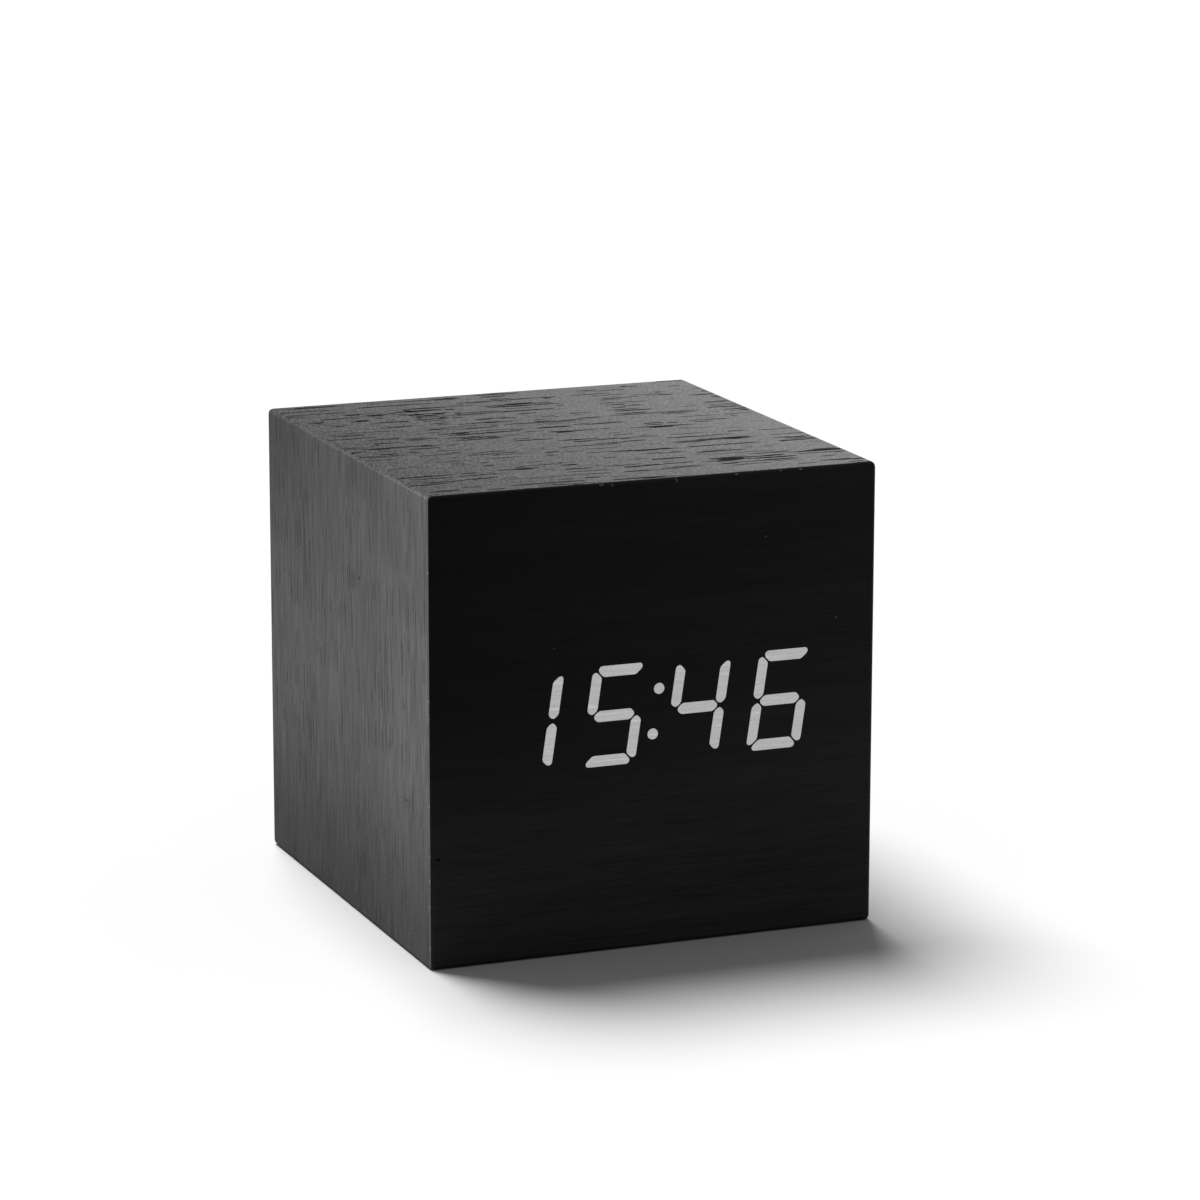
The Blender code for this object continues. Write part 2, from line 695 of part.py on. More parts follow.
def build_case():
    """Boards and veneers."""
    rebate = tray_rebate()
    seat = panel_rebate()
    for quarter, side in enumerate(("top", "right", "bottom", "left")):
        board = case_side("board_" + side, quarter, board_face, wall, fibreboard)
        finish_of_side = dark_veneer if side == "bottom" else grey_veneer
        veneer = case_side("veneer_" + side, quarter, -OVERRUN, SIDE_VENEER, finish_of_side)
        combine(veneer, envelope, "INTERSECT")
        if side == "bottom":
            cut(board, rebate)
            cut(board, tray_opening())
            cut(board, tray_pilots())
            cut(veneer, rebate)

    drop = DISPLAY_HEIGHT - mid_height
    window = rectangle((DISPLAY_RIGHT - window_half_width, drop - window_half_height),
                       (DISPLAY_RIGHT + window_half_width, drop + window_half_height))
    pilot = SCREW_SHANK + 2 * SCREW_FIT
    pilots = [circle((x, drop + y), pilot) for x, y in display_screw_places().values()]
    outer = rectangle((-inset_half_width, -inset_half_height), (inset_half_width, inset_half_height))
    mesh = plate_mesh("board_front", [outer, window, *pilots], FRONT_BOARD)
    place = (0, (ring_front + front_board_back) / 2, mid_height)
    show_as_part(placed("board_front", mesh, place, FACE_FRONT), fibreboard)

    drop = panel_height - mid_height
    window = rectangle((-opening_half_width, drop - opening_half_height),
                       (opening_half_width, drop + opening_half_height))
    pilots = [circle((0, drop + rise), pilot) for rise in (-panel_screw_rise, panel_screw_rise)]
    mesh = plate_mesh("board_back", [outer, window, *pilots], BACK_BOARD)
    place = (0, (back_board_front + ring_back) / 2, mid_height)
    back = show_as_part(placed("board_back", mesh, place, FACE_FRONT), fibreboard)
    cut(back, seat)

    reach = half_width + OVERRUN
    height = mid_height + OVERRUN
    blank = rectangle((-reach, -height), (reach, height))
    mesh = plate_mesh("veneer_back", [blank], BACK_VENEER + OVERRUN)
    place = (0, half_depth + (OVERRUN - BACK_VENEER) / 2, mid_height)
    back_veneer = show_as_part(placed("veneer_back", mesh, place, FACE_FRONT), dark_veneer)
    combine(back_veneer, envelope, "INTERSECT")
    cut(back_veneer, seat)

    lit = colon_outlines(PIPE_FIT)
    for place, digit in zip(digit_places, SHOWN_TIME):
        lit += lit_outlines(place, digit, PIPE_FIT)
    mesh = plate_mesh("veneer_front", [blank], FRONT_VENEER + OVERRUN)
    place = (0, -half_depth - (OVERRUN - FRONT_VENEER) / 2, mid_height)
    front_veneer = show_as_part(placed("veneer_front", mesh, place, FACE_FRONT), dark_veneer)
    combine(front_veneer, envelope, "INTERSECT")
    mesh = plate_mesh("digit_slots", lit, FRONT_VENEER + 2 * OVERRUN)
    place = (0, -half_depth + FRONT_VENEER / 2, DISPLAY_HEIGHT)
    cut(front_veneer, hide_as_cutter(placed("digit_slots", mesh, place, FACE_FRONT)))


# Screws


def pan_screw(name, place, turn, reach):
    """A pan head screw whose head sits on the place and whose shank runs down from it."""
    head = SCREW_HEAD / 2
    shank = SCREW_SHANK / 2
    profile = [
        (0, SCREW_HEAD_HEIGHT),
        (head * HEAD_TOP_SHARE, SCREW_HEAD_HEIGHT * HEAD_CROWN_SHARE),
        (head, SCREW_HEAD_HEIGHT * HEAD_SIDE_SHARE),
        (head, 0), (shank, 0), (shank, SCREW_TIP - reach), (0, -reach),
    ]
    show_as_part(turned(name, profile, place, turn, SMALL_ROUND_STEPS), plated_steel)


def sunk_screw(name, place, turn, reach):
    """A countersunk screw whose flat head lies in the place's plane."""
    head = SINK_HEAD / 2
    shank = SCREW_SHANK / 2
    profile = [
        (0, 0), (head, 0), (head, -SINK_RIM), (shank, -SINK_HEAD_HEIGHT),
        (shank, SCREW_TIP - reach), (0, -reach),
    ]
    show_as_part(turned(name, profile, place, turn, SMALL_ROUND_STEPS), plated_steel)


# Display


def guide_outline(place, half_run, half_rise):
    """The leaning outline of a light guide's back plate."""
    return slanted(rectangle((-half_run, -half_rise), (half_run, half_rise)), place)


def light_guide(name, outline, lit, unlit):
    """A back plate with a bar for each segment: lit bars reach the clock's face, the others the mask's."""
    plate = plate_mesh(name, [outline], GUIDE_PLATE)
    guide = show_as_part(placed(name, plate, (0, guide_middle, DISPLAY_HEIGHT), FACE_FRONT), lit_diffuser)
    for kind, outlines, end in (("lit", lit, lit_face), ("unlit", unlit, ring_front)):
        if outlines:
            bar_name = name + "_" + kind
            mesh = plate_mesh(bar_name, outlines, guide_middle - end)
            place = (0, (guide_middle + end) / 2, DISPLAY_HEIGHT)
            join(guide, hide_as_cutter(placed(bar_name, mesh, place, FACE_FRONT)))


def led_boxes():
    """One box for each segment and dot, at its middle on the display board's front face."""
    spots = []
    for place in digit_places:
        for points in segment_shapes().values():
            middle = sum((Vector(point) for point in points), Vector((0, 0))) / len(points)
            level = max(x for x, y in points) - min(x for x, y in points) > UPRIGHT_WIDTH * 2
            spots.append((place + middle.x + middle.y * lean, middle.y, level))
    spots += [(DISPLAY_RIGHT + up * lean, up, True) for up in spaced(2, DOT_SPACING)]
    boxes = []
    for across, up, level in spots:
        half_x, half_z = (LED_LENGTH / 2, LED_WIDTH / 2) if level else (LED_WIDTH / 2, LED_LENGTH / 2)
        height = DISPLAY_HEIGHT + up
        low = (across - half_x, display_board_front - LED_HEIGHT, height - half_z)
        high = (across + half_x, display_board_front + BOARD_THICKNESS / 2, height + half_z)
        boxes.append((low, high))
    return boxes


def header_box(back, front, height):
    """The box of a ribbon header between two depths, centred on a height."""
    low = (-HEADER_WIDTH / 2, back, height - HEADER_HEIGHT / 2)
    high = (HEADER_WIDTH / 2, front, height + HEADER_HEIGHT / 2)
    return low, high


display_header_height = DISPLAY_HEIGHT + DISPLAY_BOARD_HEIGHT / 2 - BOARD_EDGE - HEADER_HEIGHT / 2
main_header_height = main_top - BOARD_EDGE - HEADER_HEIGHT / 2


def build_display():
    """Mask, light guides and display board, from the veneer back."""
    outer = rectangle((DISPLAY_RIGHT - window_half_width + SEAT, -window_half_height + SEAT),
                      (DISPLAY_RIGHT + window_half_width - SEAT, window_half_height - SEAT))
    wells = colon_outlines(PIPE_FIT)
    for place, digit in zip(digit_places, SHOWN_TIME):
        wells += lit_outlines(place, digit, PIPE_FIT) + unlit_outlines(place, digit, PIPE_FIT)
    mesh = plate_mesh("display_mask", [outer, *wells], mask_back - ring_front)
    place = (0, (ring_front + mask_back) / 2, DISPLAY_HEIGHT)
    show_as_part(placed("display_mask", mesh, place, FACE_FRONT), black_plastic)

    half_run = digit_half_width + GUIDE_RIM
    half_rise = digit_half_height + GUIDE_RIM
    for number, (place, digit) in enumerate(zip(digit_places, SHOWN_TIME), start=1):
        light_guide(f"digit_{number}_light_guide", guide_outline(place, half_run, half_rise),
                    lit_outlines(place, digit), unlit_outlines(place, digit))
    colon_half_run = digit_pitch / 2 - half_run - SEAT
    outline = guide_outline(DISPLAY_RIGHT, colon_half_run, half_rise)
    light_guide("colon_light_guide", outline, colon_outlines(), [])

    right = DISPLAY_RIGHT + display_board_half_width
    left = DISPLAY_RIGHT - display_board_half_width
    outer = rectangle((left, -DISPLAY_BOARD_HEIGHT / 2), (right, DISPLAY_BOARD_HEIGHT / 2))
    holes = [circle(spot, SCREW_SHANK + 2 * SCREW_FIT) for spot in display_screw_places().values()]
    mesh = plate_mesh("display_board", [outer, *holes], BOARD_THICKNESS)
    place = (0, (display_board_front + display_board_back) / 2, DISPLAY_HEIGHT)
    board = show_as_part(placed("display_board", mesh, place, FACE_FRONT), circuit_board)
    header = header_box(place[1], display_board_back + HEADER_DEPTH, display_header_height)
    for name, boxes in (("display_leds", led_boxes()), ("display_header", [header])):
        join(board, hide_as_cutter(placed(name, block_mesh(name, boxes), (0, 0, 0))))
    for side, (across, up) in display_screw_places().items():
        head = (across, display_board_back + BOND, DISPLAY_HEIGHT + up)
        pan_screw("display_screw_" + side, head, FACE_BACK, BOARD_THICKNESS + SEAT + SCREW_BITE)


def ribbon_path():
    """Points in Y and Z along the ribbon cable, which hangs between its two headers."""
    start = (display_board_back + HEADER_DEPTH + SEAT, display_header_height)
    end = (main_board_front - HEADER_DEPTH - SEAT, main_header_height)
    path = []
    for k in range(RIBBON_STEPS + 1):
        t = k / RIBBON_STEPS
        ease = t * t * (3 - 2 * t)
        sag = RIBBON_SAG * math.sin(math.pi * t) ** 2
        path.append(Vector((start[0] + (end[0] - start[0]) * t, start[1] + (end[1] - start[1]) * ease - sag)))
    return path


def build_ribbon_cable():
    """A flat cable between the two boards."""
    path = ribbon_path()
    upper, lower = [], []
    for k, point in enumerate(path):
        heading = (path[min(k + 1, len(path) - 1)] - path[max(k - 1, 0)]).normalized()
        if k in (0, len(path) - 1):
            heading = Vector((1, 0))
        offset = Vector((-heading.y, heading.x)) * RIBBON_THICKNESS / 2
        upper.append(point + offset)
        lower.append(point - offset)
    mesh = plate_mesh("ribbon_cable", [[(p.x, p.y) for p in lower + upper[::-1]]], RIBBON_WIDTH)
    show_as_part(placed("ribbon_cable", mesh, (0, 0, 0), FACE_SIDE), grey_cable)


# Back of the clock


def build_control_panel():
    """The sunk panel with its holes and the two posts that carry the main board."""
    outer = rounded_rectangle(panel_half_width, panel_half_height, PANEL_CORNER)
    row = lower_row - panel_height
    high_row = upper_row - panel_height
    holes = [circle((x, row), BUTTON_DIAMETER + 2 * BUTTON_FIT, ROUND_STEPS) for x in button_places.values()]
    holes.append(circle((socket_right, high_row), SOCKET_NOSE + 2 * SEAT, ROUND_STEPS))
    holes.append(circle((microphone_right, high_row), MICROPHONE_HOLE))
    holes.append(circle((buzzer_right, high_row), SOUND_HOLE))
    for x, z in circle((buzzer_right, high_row), 2 * SOUND_RING, SOUND_HOLES):
        holes.append(circle((x, z), SOUND_HOLE))
    clear = SCREW_SHANK + 2 * SCREW_FIT
    holes += [circle((0, rise), clear) for rise in (-panel_screw_rise, panel_screw_rise)]
    mesh = plate_mesh("control_panel", [outer, *holes], PANEL_THICKNESS)
    place = (0, (panel_front + panel_back) / 2, panel_height)
    panel = show_as_part(placed("control_panel", mesh, place, FACE_FRONT), black_plastic)

    low = place[1]
    end = main_board_back + BOND
    bored = end + SCREW_BITE + SCREW_FIT
    post = POST_DIAMETER / 2
    pilot = SCREW_SHANK / 2 + SCREW_FIT
    spots = [(x, -post_height) for x in (-post_right, post_right)]
    posts = [(spot, (end, low), (post, post)) for spot in spots]
    pilots = [(spot, (end - OVERRUN, bored), (pilot, pilot)) for spot in spots]
    join(panel, hide_as_cutter(placed("panel_posts", pin_mesh("panel_posts", posts), (0, 0, 0), FACE_BACK)))
    cut(panel, hide_as_cutter(placed("panel_pilots", pin_mesh("panel_pilots", pilots), (0, 0, 0), FACE_BACK)))
    for side, rise in (("lower", -panel_screw_rise), ("upper", panel_screw_rise)):
        head = (0, panel_back + BOND, panel_height + rise)
        pan_screw("panel_screw_" + side, head, FACE_BACK, PANEL_THICKNESS + SEAT + SCREW_BITE)


def build_buttons():
    """Three buttons with their switches. Each button and its plunger hang from one empty on their axis."""
    cap = BUTTON_DIAMETER / 2
    flange = BUTTON_FLANGE / 2
    stem = STEM_DIAMETER / 2
    plunger = PLUNGER_DIAMETER / 2
    flange_front = flange_back - BUTTON_FLANGE_THICKNESS
    cap_profile = [
        (0, BUTTON_PROUD - BUTTON_DISH),
        (cap * DISH_RADIUS_SHARE, BUTTON_PROUD - BUTTON_DISH * DISH_SLOPE_SHARE),
        (cap - BUTTON_EDGE, BUTTON_PROUD), (cap, BUTTON_PROUD - BUTTON_EDGE),
        (cap, flange_back - panel_back), (flange, flange_back - panel_back),
        (flange, flange_front - panel_back), (stem, flange_front - panel_back),
        (stem, stem_front - panel_back), (0, stem_front - panel_back),
    ]
    plunger_top = plunger_back - panel_back
    plunger_low = switch_back - PLUNGER_ENGAGED - panel_back
    plunger_profile = [
        (0, plunger_top), (plunger - PLUNGER_EDGE, plunger_top), (plunger, plunger_top - PLUNGER_EDGE),
        (plunger, plunger_low), (0, plunger_low),
    ]
    body = rounded_rectangle(SWITCH_SIZE / 2, SWITCH_SIZE / 2, SWITCH_CORNER)
    bore = circle((0, 0), PLUNGER_DIAMETER + 2 * PLUNGER_FIT)
    for word, across in button_places.items():
        axis = bpy.data.objects.new("button_" + word + "_axis", None)
        axis.location = (across, panel_back, lower_row)
        axis.rotation_euler = FACE_BACK
        clock.objects.link(axis)
        button = show_as_part(turned("button_" + word, cap_profile, (0, 0, 0), UNTURNED), black_plastic)
        key = turned("plunger_" + word, plunger_profile, (0, 0, 0), UNTURNED, SMALL_ROUND_STEPS)
        show_as_part(key, white_plastic)
        button.parent = key.parent = axis
        mesh = plate_mesh("switch_" + word, [body, bore], SWITCH_HEIGHT)
        place = (across, switch_back - SWITCH_HEIGHT / 2, lower_row)
        show_as_part(placed("switch_" + word, mesh, place, FACE_FRONT), chip_plastic)


def build_main_board():
    """The main board with its header, screwed to the panel's posts."""
    outer = rectangle((-main_half_width, -main_half_height), (main_half_width, main_half_height))
    drop = post_height - panel_height
    holes = [circle((x, drop), SCREW_SHANK + 2 * SCREW_FIT) for x in (-post_right, post_right)]
    mesh = plate_mesh("main_board", [outer, *holes], BOARD_THICKNESS)
    middle = (main_board_front + main_board_back) / 2
    board = show_as_part(placed("main_board", mesh, (0, middle, panel_height), FACE_FRONT), circuit_board)
    box = header_box(main_board_front - HEADER_DEPTH, middle, main_header_height)
    join(board, hide_as_cutter(placed("main_header", block_mesh("main_header", [box]), (0, 0, 0))))
    for side, across in (("left", -post_right), ("right", post_right)):
        head = (across, main_board_front - BOND, post_height)
        pan_screw("board_screw_" + side, head, FACE_FRONT, BOND + BOARD_THICKNESS + BOND + SCREW_BITE)


def build_chip():
    """The controller chip on the main board's front face, with a row of legs above and below."""
    foot = main_board_front - BOND
    body_back = foot - CHIP_LEG_THICKNESS
    half_x = CHIP_LENGTH / 2
    half_z = CHIP_WIDTH / 2
    height = panel_height
    low = (-half_x, foot - CHIP_HEIGHT, height - half_z)
    high = (half_x, body_back, height + half_z)
    chip = placed("controller_chip", block_mesh("controller_chip", [(low, high)]), (0, 0, 0))
    show_as_part(chip, chip_plastic)
    pitch = CHIP_LENGTH / (CHIP_LEGS + 1)
    middle = foot - CHIP_HEIGHT / 2
    boxes = []
    for across in spaced(CHIP_LEGS, pitch):
        left = across - CHIP_LEG_WIDTH / 2
        right = across + CHIP_LEG_WIDTH / 2
        reach = half_z + CHIP_LEG
        boxes.append(((left, middle, height - reach), (right, foot, height + reach)))
    join(chip, hide_as_cutter(placed("chip_legs", block_mesh("chip_legs", boxes), (0, 0, 0))))


def build_round_components():
    """Buzzer and microphone behind the panel, and the crystal on the board's front face."""
    foot = main_board_back + BOND
    buzzer = BUZZER_DIAMETER / 2
    port = BUZZER_PORT / 2
    floor = BUZZER_HEIGHT * BUZZER_FLOOR_SHARE
    profile = [
        (0, floor), (port, floor), (port, BUZZER_HEIGHT),
        (buzzer - BUZZER_EDGE, BUZZER_HEIGHT), (buzzer, BUZZER_HEIGHT - BUZZER_EDGE), (buzzer, 0), (0, 0),
    ]
    show_as_part(turned("buzzer", profile, (buzzer_right, foot, upper_row), FACE_BACK), black_plastic)
    capsule = MICROPHONE_DIAMETER / 2
    floor = MICROPHONE_HEIGHT * MICROPHONE_FLOOR_SHARE
    mouth = capsule * MICROPHONE_MOUTH_SHARE
    profile = [
        (0, floor), (mouth, floor), (mouth, MICROPHONE_HEIGHT),
        (capsule, MICROPHONE_HEIGHT), (capsule, 0), (0, 0),
    ]
    show_as_part(turned("microphone", profile, (microphone_right, foot, upper_row), FACE_BACK), plated_steel)
    can = CRYSTAL_DIAMETER / 2
    top = can * CRYSTAL_TOP_SHARE
    profile = [(0, CRYSTAL_LENGTH), (top, CRYSTAL_LENGTH), (can, CRYSTAL_LENGTH + top - can), (can, 0), (0, 0)]
    place = (-post_right + POST_DIAMETER, main_board_front - SEAT - can, panel_height)
    show_as_part(turned("clock_crystal", profile, place, UNTURNED, SMALL_ROUND_STEPS), plated_steel)


def build_power_socket():
    """A barrel socket that stands on the main board with its nose in the panel's hole."""
    foot = main_board_back + BOND
    top = panel_front - SEAT
    half = SOCKET_SIZE / 2
    low = (socket_right - half, foot, upper_row - half)
    high = (socket_right + half, top, upper_row + half)
    socket = placed("power_socket", block_mesh("power_socket", [(low, high)]), (0, 0, 0))
    show_as_part(socket, black_plastic)
    spot = (socket_right, -upper_row)
    mouth = panel_back - SEAT
    floor = mouth - SOCKET_DEPTH
    pieces = (
        ("socket_nose", (foot + BOARD_THICKNESS, mouth), SOCKET_NOSE, "UNION"),
        ("socket_bore", (floor, mouth + OVERRUN), SOCKET_BORE, "DIFFERENCE"),
        ("socket_pin", (floor - SEAT, floor + SOCKET_PIN_LENGTH), SOCKET_PIN, "UNION"),
    )
    for name, ends, diameter, operation in pieces:
        mesh = pin_mesh(name, [(spot, ends, (diameter / 2, diameter / 2))], ROUND_STEPS)
        combine(socket, hide_as_cutter(placed(name, mesh, (0, 0, 0), FACE_BACK)), operation)


# Battery bay


def contacts():
    """Each contact's name, end of the bay (-1 front, 1 back), and cells: a spring on a cell's flat end."""
    left, middle, right = cell_places
    return (
        ("contact_front_bridge", -1, (left, middle), left, None),
        ("contact_front_negative", -1, (right,), right, right),
        ("contact_back_positive", 1, (left,), None, left),
        ("contact_back_bridge", 1, (middle, right), middle, None),
    )


def saddle_outline():
    """A rib across the bay's ceiling with a round seat for each cell, in X and Z about the cells' axes."""
    radius = CELL_DIAMETER / 2 + SEAT
    spread = math.acos(SADDLE_RISE / radius)
    side = bay_half_width + TRAY_WALL / 2
    top = bay_ceiling - cell_height + TRAY_WALL / 2
    points = [(-side, top), (-side, SADDLE_RISE)]
    for place in cell_places:
        points += arc((place, 0), radius, math.pi / 2 + spread, math.pi / 2 - spread, SADDLE_STEPS)
    return points + [(side, SADDLE_RISE), (side, top)]


def contact_edges():
    """The left and right edge of each contact, with its end of the bay."""
    half = CONTACT_WIDTH / 2
    return [(end, min(cells) - half, max(cells) + half) for name, end, cells, spring, tab in contacts()]


def end_box(end, left, right, near, far, low, high):
    """A box at one end of the bay, between two depths from the bay's middle."""
    y = sorted((end * near, end * far))
    return (left, y[0], low), (right, y[1], high)


def build_battery_tray():
    """The tray: rim, bay, flange, rails for the contacts and saddles for the cells."""
    rim = ((-rim_half_width, -rim_half_length, TRAY_RECESS), (rim_half_width, rim_half_length, rim_top))
    tray = show_as_part(placed("battery_tray", block_mesh("battery_tray", [rim]), (0, 0, 0)), black_plastic)
    side = bay_half_width + TRAY_WALL
    length = bay_half_length + TRAY_WALL
    shell = block_mesh("tray_shell", [((-side, -length, door_seat), (side, length, tray_top))])
    join(tray, hide_as_cutter(placed("tray_shell", shell, (0, 0, 0))))
    outline = rounded_rectangle(flange_half_width, flange_half_length, TRAY_CORNER)
    flange = plate_mesh("tray_flange", [outline], TRAY_FLANGE)
    join(tray, hide_as_cutter(placed("tray_flange", flange, (0, 0, (TRAY_RECESS + flange_top) / 2))))

    recess = ((-door_half_width - DOOR_GAP, -door_half_length - DOOR_GAP, -OVERRUN),
              (door_half_width + DOOR_GAP, door_half_length + DOOR_GAP, door_seat))
    cut(tray, hide_as_cutter(placed("door_recess", block_mesh("door_recess", [recess]), (0, 0, 0))))
    bay = ((-bay_half_width, -bay_half_length, 0), (bay_half_width, bay_half_length, bay_ceiling))
    cut(tray, hide_as_cutter(placed("bay_hollow", block_mesh("bay_hollow", [bay]), (0, 0, 0))))

    head = SINK_HEAD / 2 + SCREW_FIT
    shank = SCREW_SHANK / 2 + SCREW_FIT
    through = TRAY_FLANGE + OVERRUN
    profile = [
        (0, OVERRUN), (head, OVERRUN), (head, -SINK_RIM), (shank, -SINK_HEAD_HEIGHT),
        (shank, -through), (0, -through),
    ]
    for number, (across, along) in enumerate(tray_screw_places(), start=1):
        place = (across, along, TRAY_RECESS + SINK_DEPTH)
        sink = turned(f"tray_sink_{number}", profile, place, FACE_DOWN, SMALL_ROUND_STEPS)
        cut(tray, hide_as_cutter(sink))

    rails, grooves = [], []
    inward = contact_face - RAIL_FIT
    wall_middle = bay_half_length + TRAY_WALL / 2
    rail_top = bay_ceiling + TRAY_WALL / 2
    pocket = bay_half_length + CONTACT_POCKET
    for end, left, right in contact_edges():
        for edge, out in ((left, -1), (right, 1)):
            across = sorted((edge - out * RAIL_LAP, edge + out * (RAIL_FIT + RAIL_STAND)))
            rails.append(end_box(end, *across, inward - RAIL_LIP, wall_middle, rim_top, rail_top))
        top = cell_height + CONTACT_HEIGHT / 2 + RAIL_FIT
        grooves.append(end_box(end, left - RAIL_FIT, right + RAIL_FIT, inward, pocket,
                               door_seat + RAIL_FIT, top))
    for name, end, cells, spring, tab in contacts():
        if tab is not None:
            half = TAB_WIDTH / 2 + SEAT
            grooves.append(end_box(end, tab - half, tab + half, contact_face - SEAT, pocket,
                                   cell_height, tray_top + OVERRUN))
    join(tray, hide_as_cutter(placed("contact_rails", block_mesh("contact_rails", rails), (0, 0, 0))))
    for number, along in enumerate(spaced(2, SADDLE_SPACING), start=1):
        name = f"saddle_{number}"
        mesh = plate_mesh(name, [saddle_outline()], SADDLE_THICKNESS)
        join(tray, hide_as_cutter(placed(name, mesh, (0, along, cell_height), FACE_FRONT)))
    for number, box in enumerate(grooves, start=1):
        name = f"contact_groove_{number}"
        cut(tray, hide_as_cutter(placed(name, block_mesh(name, [box]), (0, 0, 0))))

    slots = []
    for across in spaced(2, TONGUE_SPACING):
        half = TONGUE_WIDTH / 2 + DOOR_GAP
        end = -door_half_length - TONGUE_REACH - DOOR_GAP
        low = (across - half, end, TRAY_RECESS + TONGUE_LIFT - DOOR_GAP)
        high = (across + half, -door_half_length, door_seat - DOOR_GAP)
        slots.append((low, high))
    cut(tray, hide_as_cutter(placed("tongue_slots", block_mesh("tongue_slots", slots), (0, 0, 0))))
    for number, (across, along) in enumerate(tray_screw_places(), start=1):
        head = (across, along, TRAY_RECESS + SINK_DEPTH)
        sunk_screw(f"tray_screw_{number}", head, FACE_DOWN, TRAY_FLANGE - SINK_DEPTH + SEAT + SCREW_BITE)


def build_battery_door():
    """The door, from the hinge line at its front edge: two tongues, a sprung latch and grip grooves."""
    width = door_half_width
    length = 2 * door_half_length
    half = LATCH_WIDTH / 2
    slit = half + LATCH_SLIT
    root = length - LATCH_LENGTH
    nose = length + LATCH_NOSE
    outline = [
        (-width, 0), (width, 0), (width, length - DOOR_CORNER), (width - DOOR_CORNER, length),
        (slit, length), (slit, root), (half, root), (half, nose),
        (-half, nose), (-half, root), (-slit, root), (-slit, length),
        (-width + DOOR_CORNER, length), (-width, length - DOOR_CORNER),
    ]
    mesh = plate_mesh("battery_door", [outline], DOOR_THICKNESS)
    for vertex in mesh.vertices:
        vertex.co.z += DOOR_THICKNESS / 2
    hinge = (0, -door_half_length, TRAY_RECESS)
    door = show_as_part(placed("battery_door", mesh, hinge), black_plastic)
    tongues = []
    for across in spaced(2, TONGUE_SPACING):
        low = (across - TONGUE_WIDTH / 2, -TONGUE_REACH, TONGUE_LIFT)
        high = (across + TONGUE_WIDTH / 2, DOOR_THICKNESS, TONGUE_LIFT + TONGUE_THICKNESS)
        tongues.append((low, high))
    join(door, hide_as_cutter(placed("door_tongues", block_mesh("door_tongues", tongues), hinge)))
    grooves = []
    first = length - LATCH_LENGTH / 2
    for along in spaced(GRIP_GROOVES, 2 * GRIP_GROOVE):
        low = (-half + GRIP_GROOVE, first + along - GRIP_GROOVE / 2, -OVERRUN)
        high = (half - GRIP_GROOVE, first + along + GRIP_GROOVE / 2, GRIP_DEPTH)
        grooves.append((low, high))
    cut(door, hide_as_cutter(placed("door_grooves", block_mesh("door_grooves", grooves), hinge)))


def build_cells():
    """Three cells that point back, front and back."""
    radius = CELL_DIAMETER / 2
    nipple = NIPPLE_DIAMETER / 2
    half = CELL_LENGTH / 2
    shoulder = half - NIPPLE_LENGTH
    profile = [
        (0, half), (nipple, half), (nipple, shoulder),
        (radius - CELL_EDGE, shoulder), (radius, shoulder - CELL_EDGE),
        (radius, CELL_EDGE - half), (radius - CELL_EDGE, -half), (0, -half),
    ]
    for number, across in enumerate(cell_places, start=1):
        back_positive = number % 2 == 1
        along = (contact_face - SEAT - half) * (1 if back_positive else -1)
        turn = FACE_BACK if back_positive else FACE_FRONT
        place = (across, along, cell_height)
        show_as_part(turned(f"battery_cell_{number}", profile, place, turn), cell_label)


def spring_path():
    """Points of a tapering spring up the local Z axis, with a straight foot that starts in its plate."""
    foot = SPRING_WIRE
    wound = SPRING_LENGTH - SPRING_WIRE / 2 - foot
    steps = round(SPRING_TURNS * SPRING_STEPS)
    points = [Vector((SPRING_BASE / 2, 0, -CONTACT_THICKNESS / 2)), Vector((SPRING_BASE / 2, 0, foot))]
    for k in range(1, steps + 1):
        t = k / steps
        radius = (SPRING_BASE + (SPRING_TIP - SPRING_BASE) * t) / 2
        angle = SPRING_TURNS * math.tau * t
        points.append(Vector((radius * math.cos(angle), radius * math.sin(angle), foot + wound * t)))
    return points


def least_gap(points, diameter, apart):
    """The least space between stretches of a wire that are at least some points apart."""
    pairs = ((a, b) for k, a in enumerate(points) for b in points[k + apart:])
    return min((a - b).length for a, b in pairs) - diameter


def build_contacts():
    """Contact plates in their rails, with a spring or a solder tab where they have one."""
    path = spring_path()
    gap = least_gap(path, SPRING_WIRE, SPRING_STEPS // 2)
    print(f"battery spring: least gap between turns {gap:.5f} m")
    spring_mesh = tube_mesh("contact_spring", path, SPRING_WIRE, 1)
    half = CONTACT_WIDTH / 2
    half_rise = CONTACT_HEIGHT / 2
    for name, end, cells, spring, tab in contacts():
        left = min(cells) - half
        right = max(cells) + half
        middle = (left + right) / 2
        outline = rounded_rectangle((right - left) / 2, half_rise, CONTACT_CORNER, (middle, 0))
        if tab is not None:
            top = tab_top - cell_height
            tab_points = [(tab - TAB_WIDTH / 2, half_rise), (tab - TAB_WIDTH / 2, top),
                          (tab + TAB_WIDTH / 2, top), (tab + TAB_WIDTH / 2, half_rise)]
            edge = [point for point in outline if point[0] >= tab and point[1] > 0]
            rest = [point for point in outline if point not in edge]
            outline = edge + tab_points[::-1] + rest
        mesh = plate_mesh(name, [outline], CONTACT_THICKNESS)
        along = end * (contact_face + CONTACT_THICKNESS / 2)
        plate = show_as_part(placed(name, mesh, (0, along, cell_height), FACE_FRONT), plated_steel)
        if spring is not None:
            turn = FACE_BACK if end < 0 else FACE_FRONT
            coil = placed(name + "_spring", spring_mesh, (spring, end * contact_face, cell_height), turn)
            join(plate, hide_as_cutter(coil))


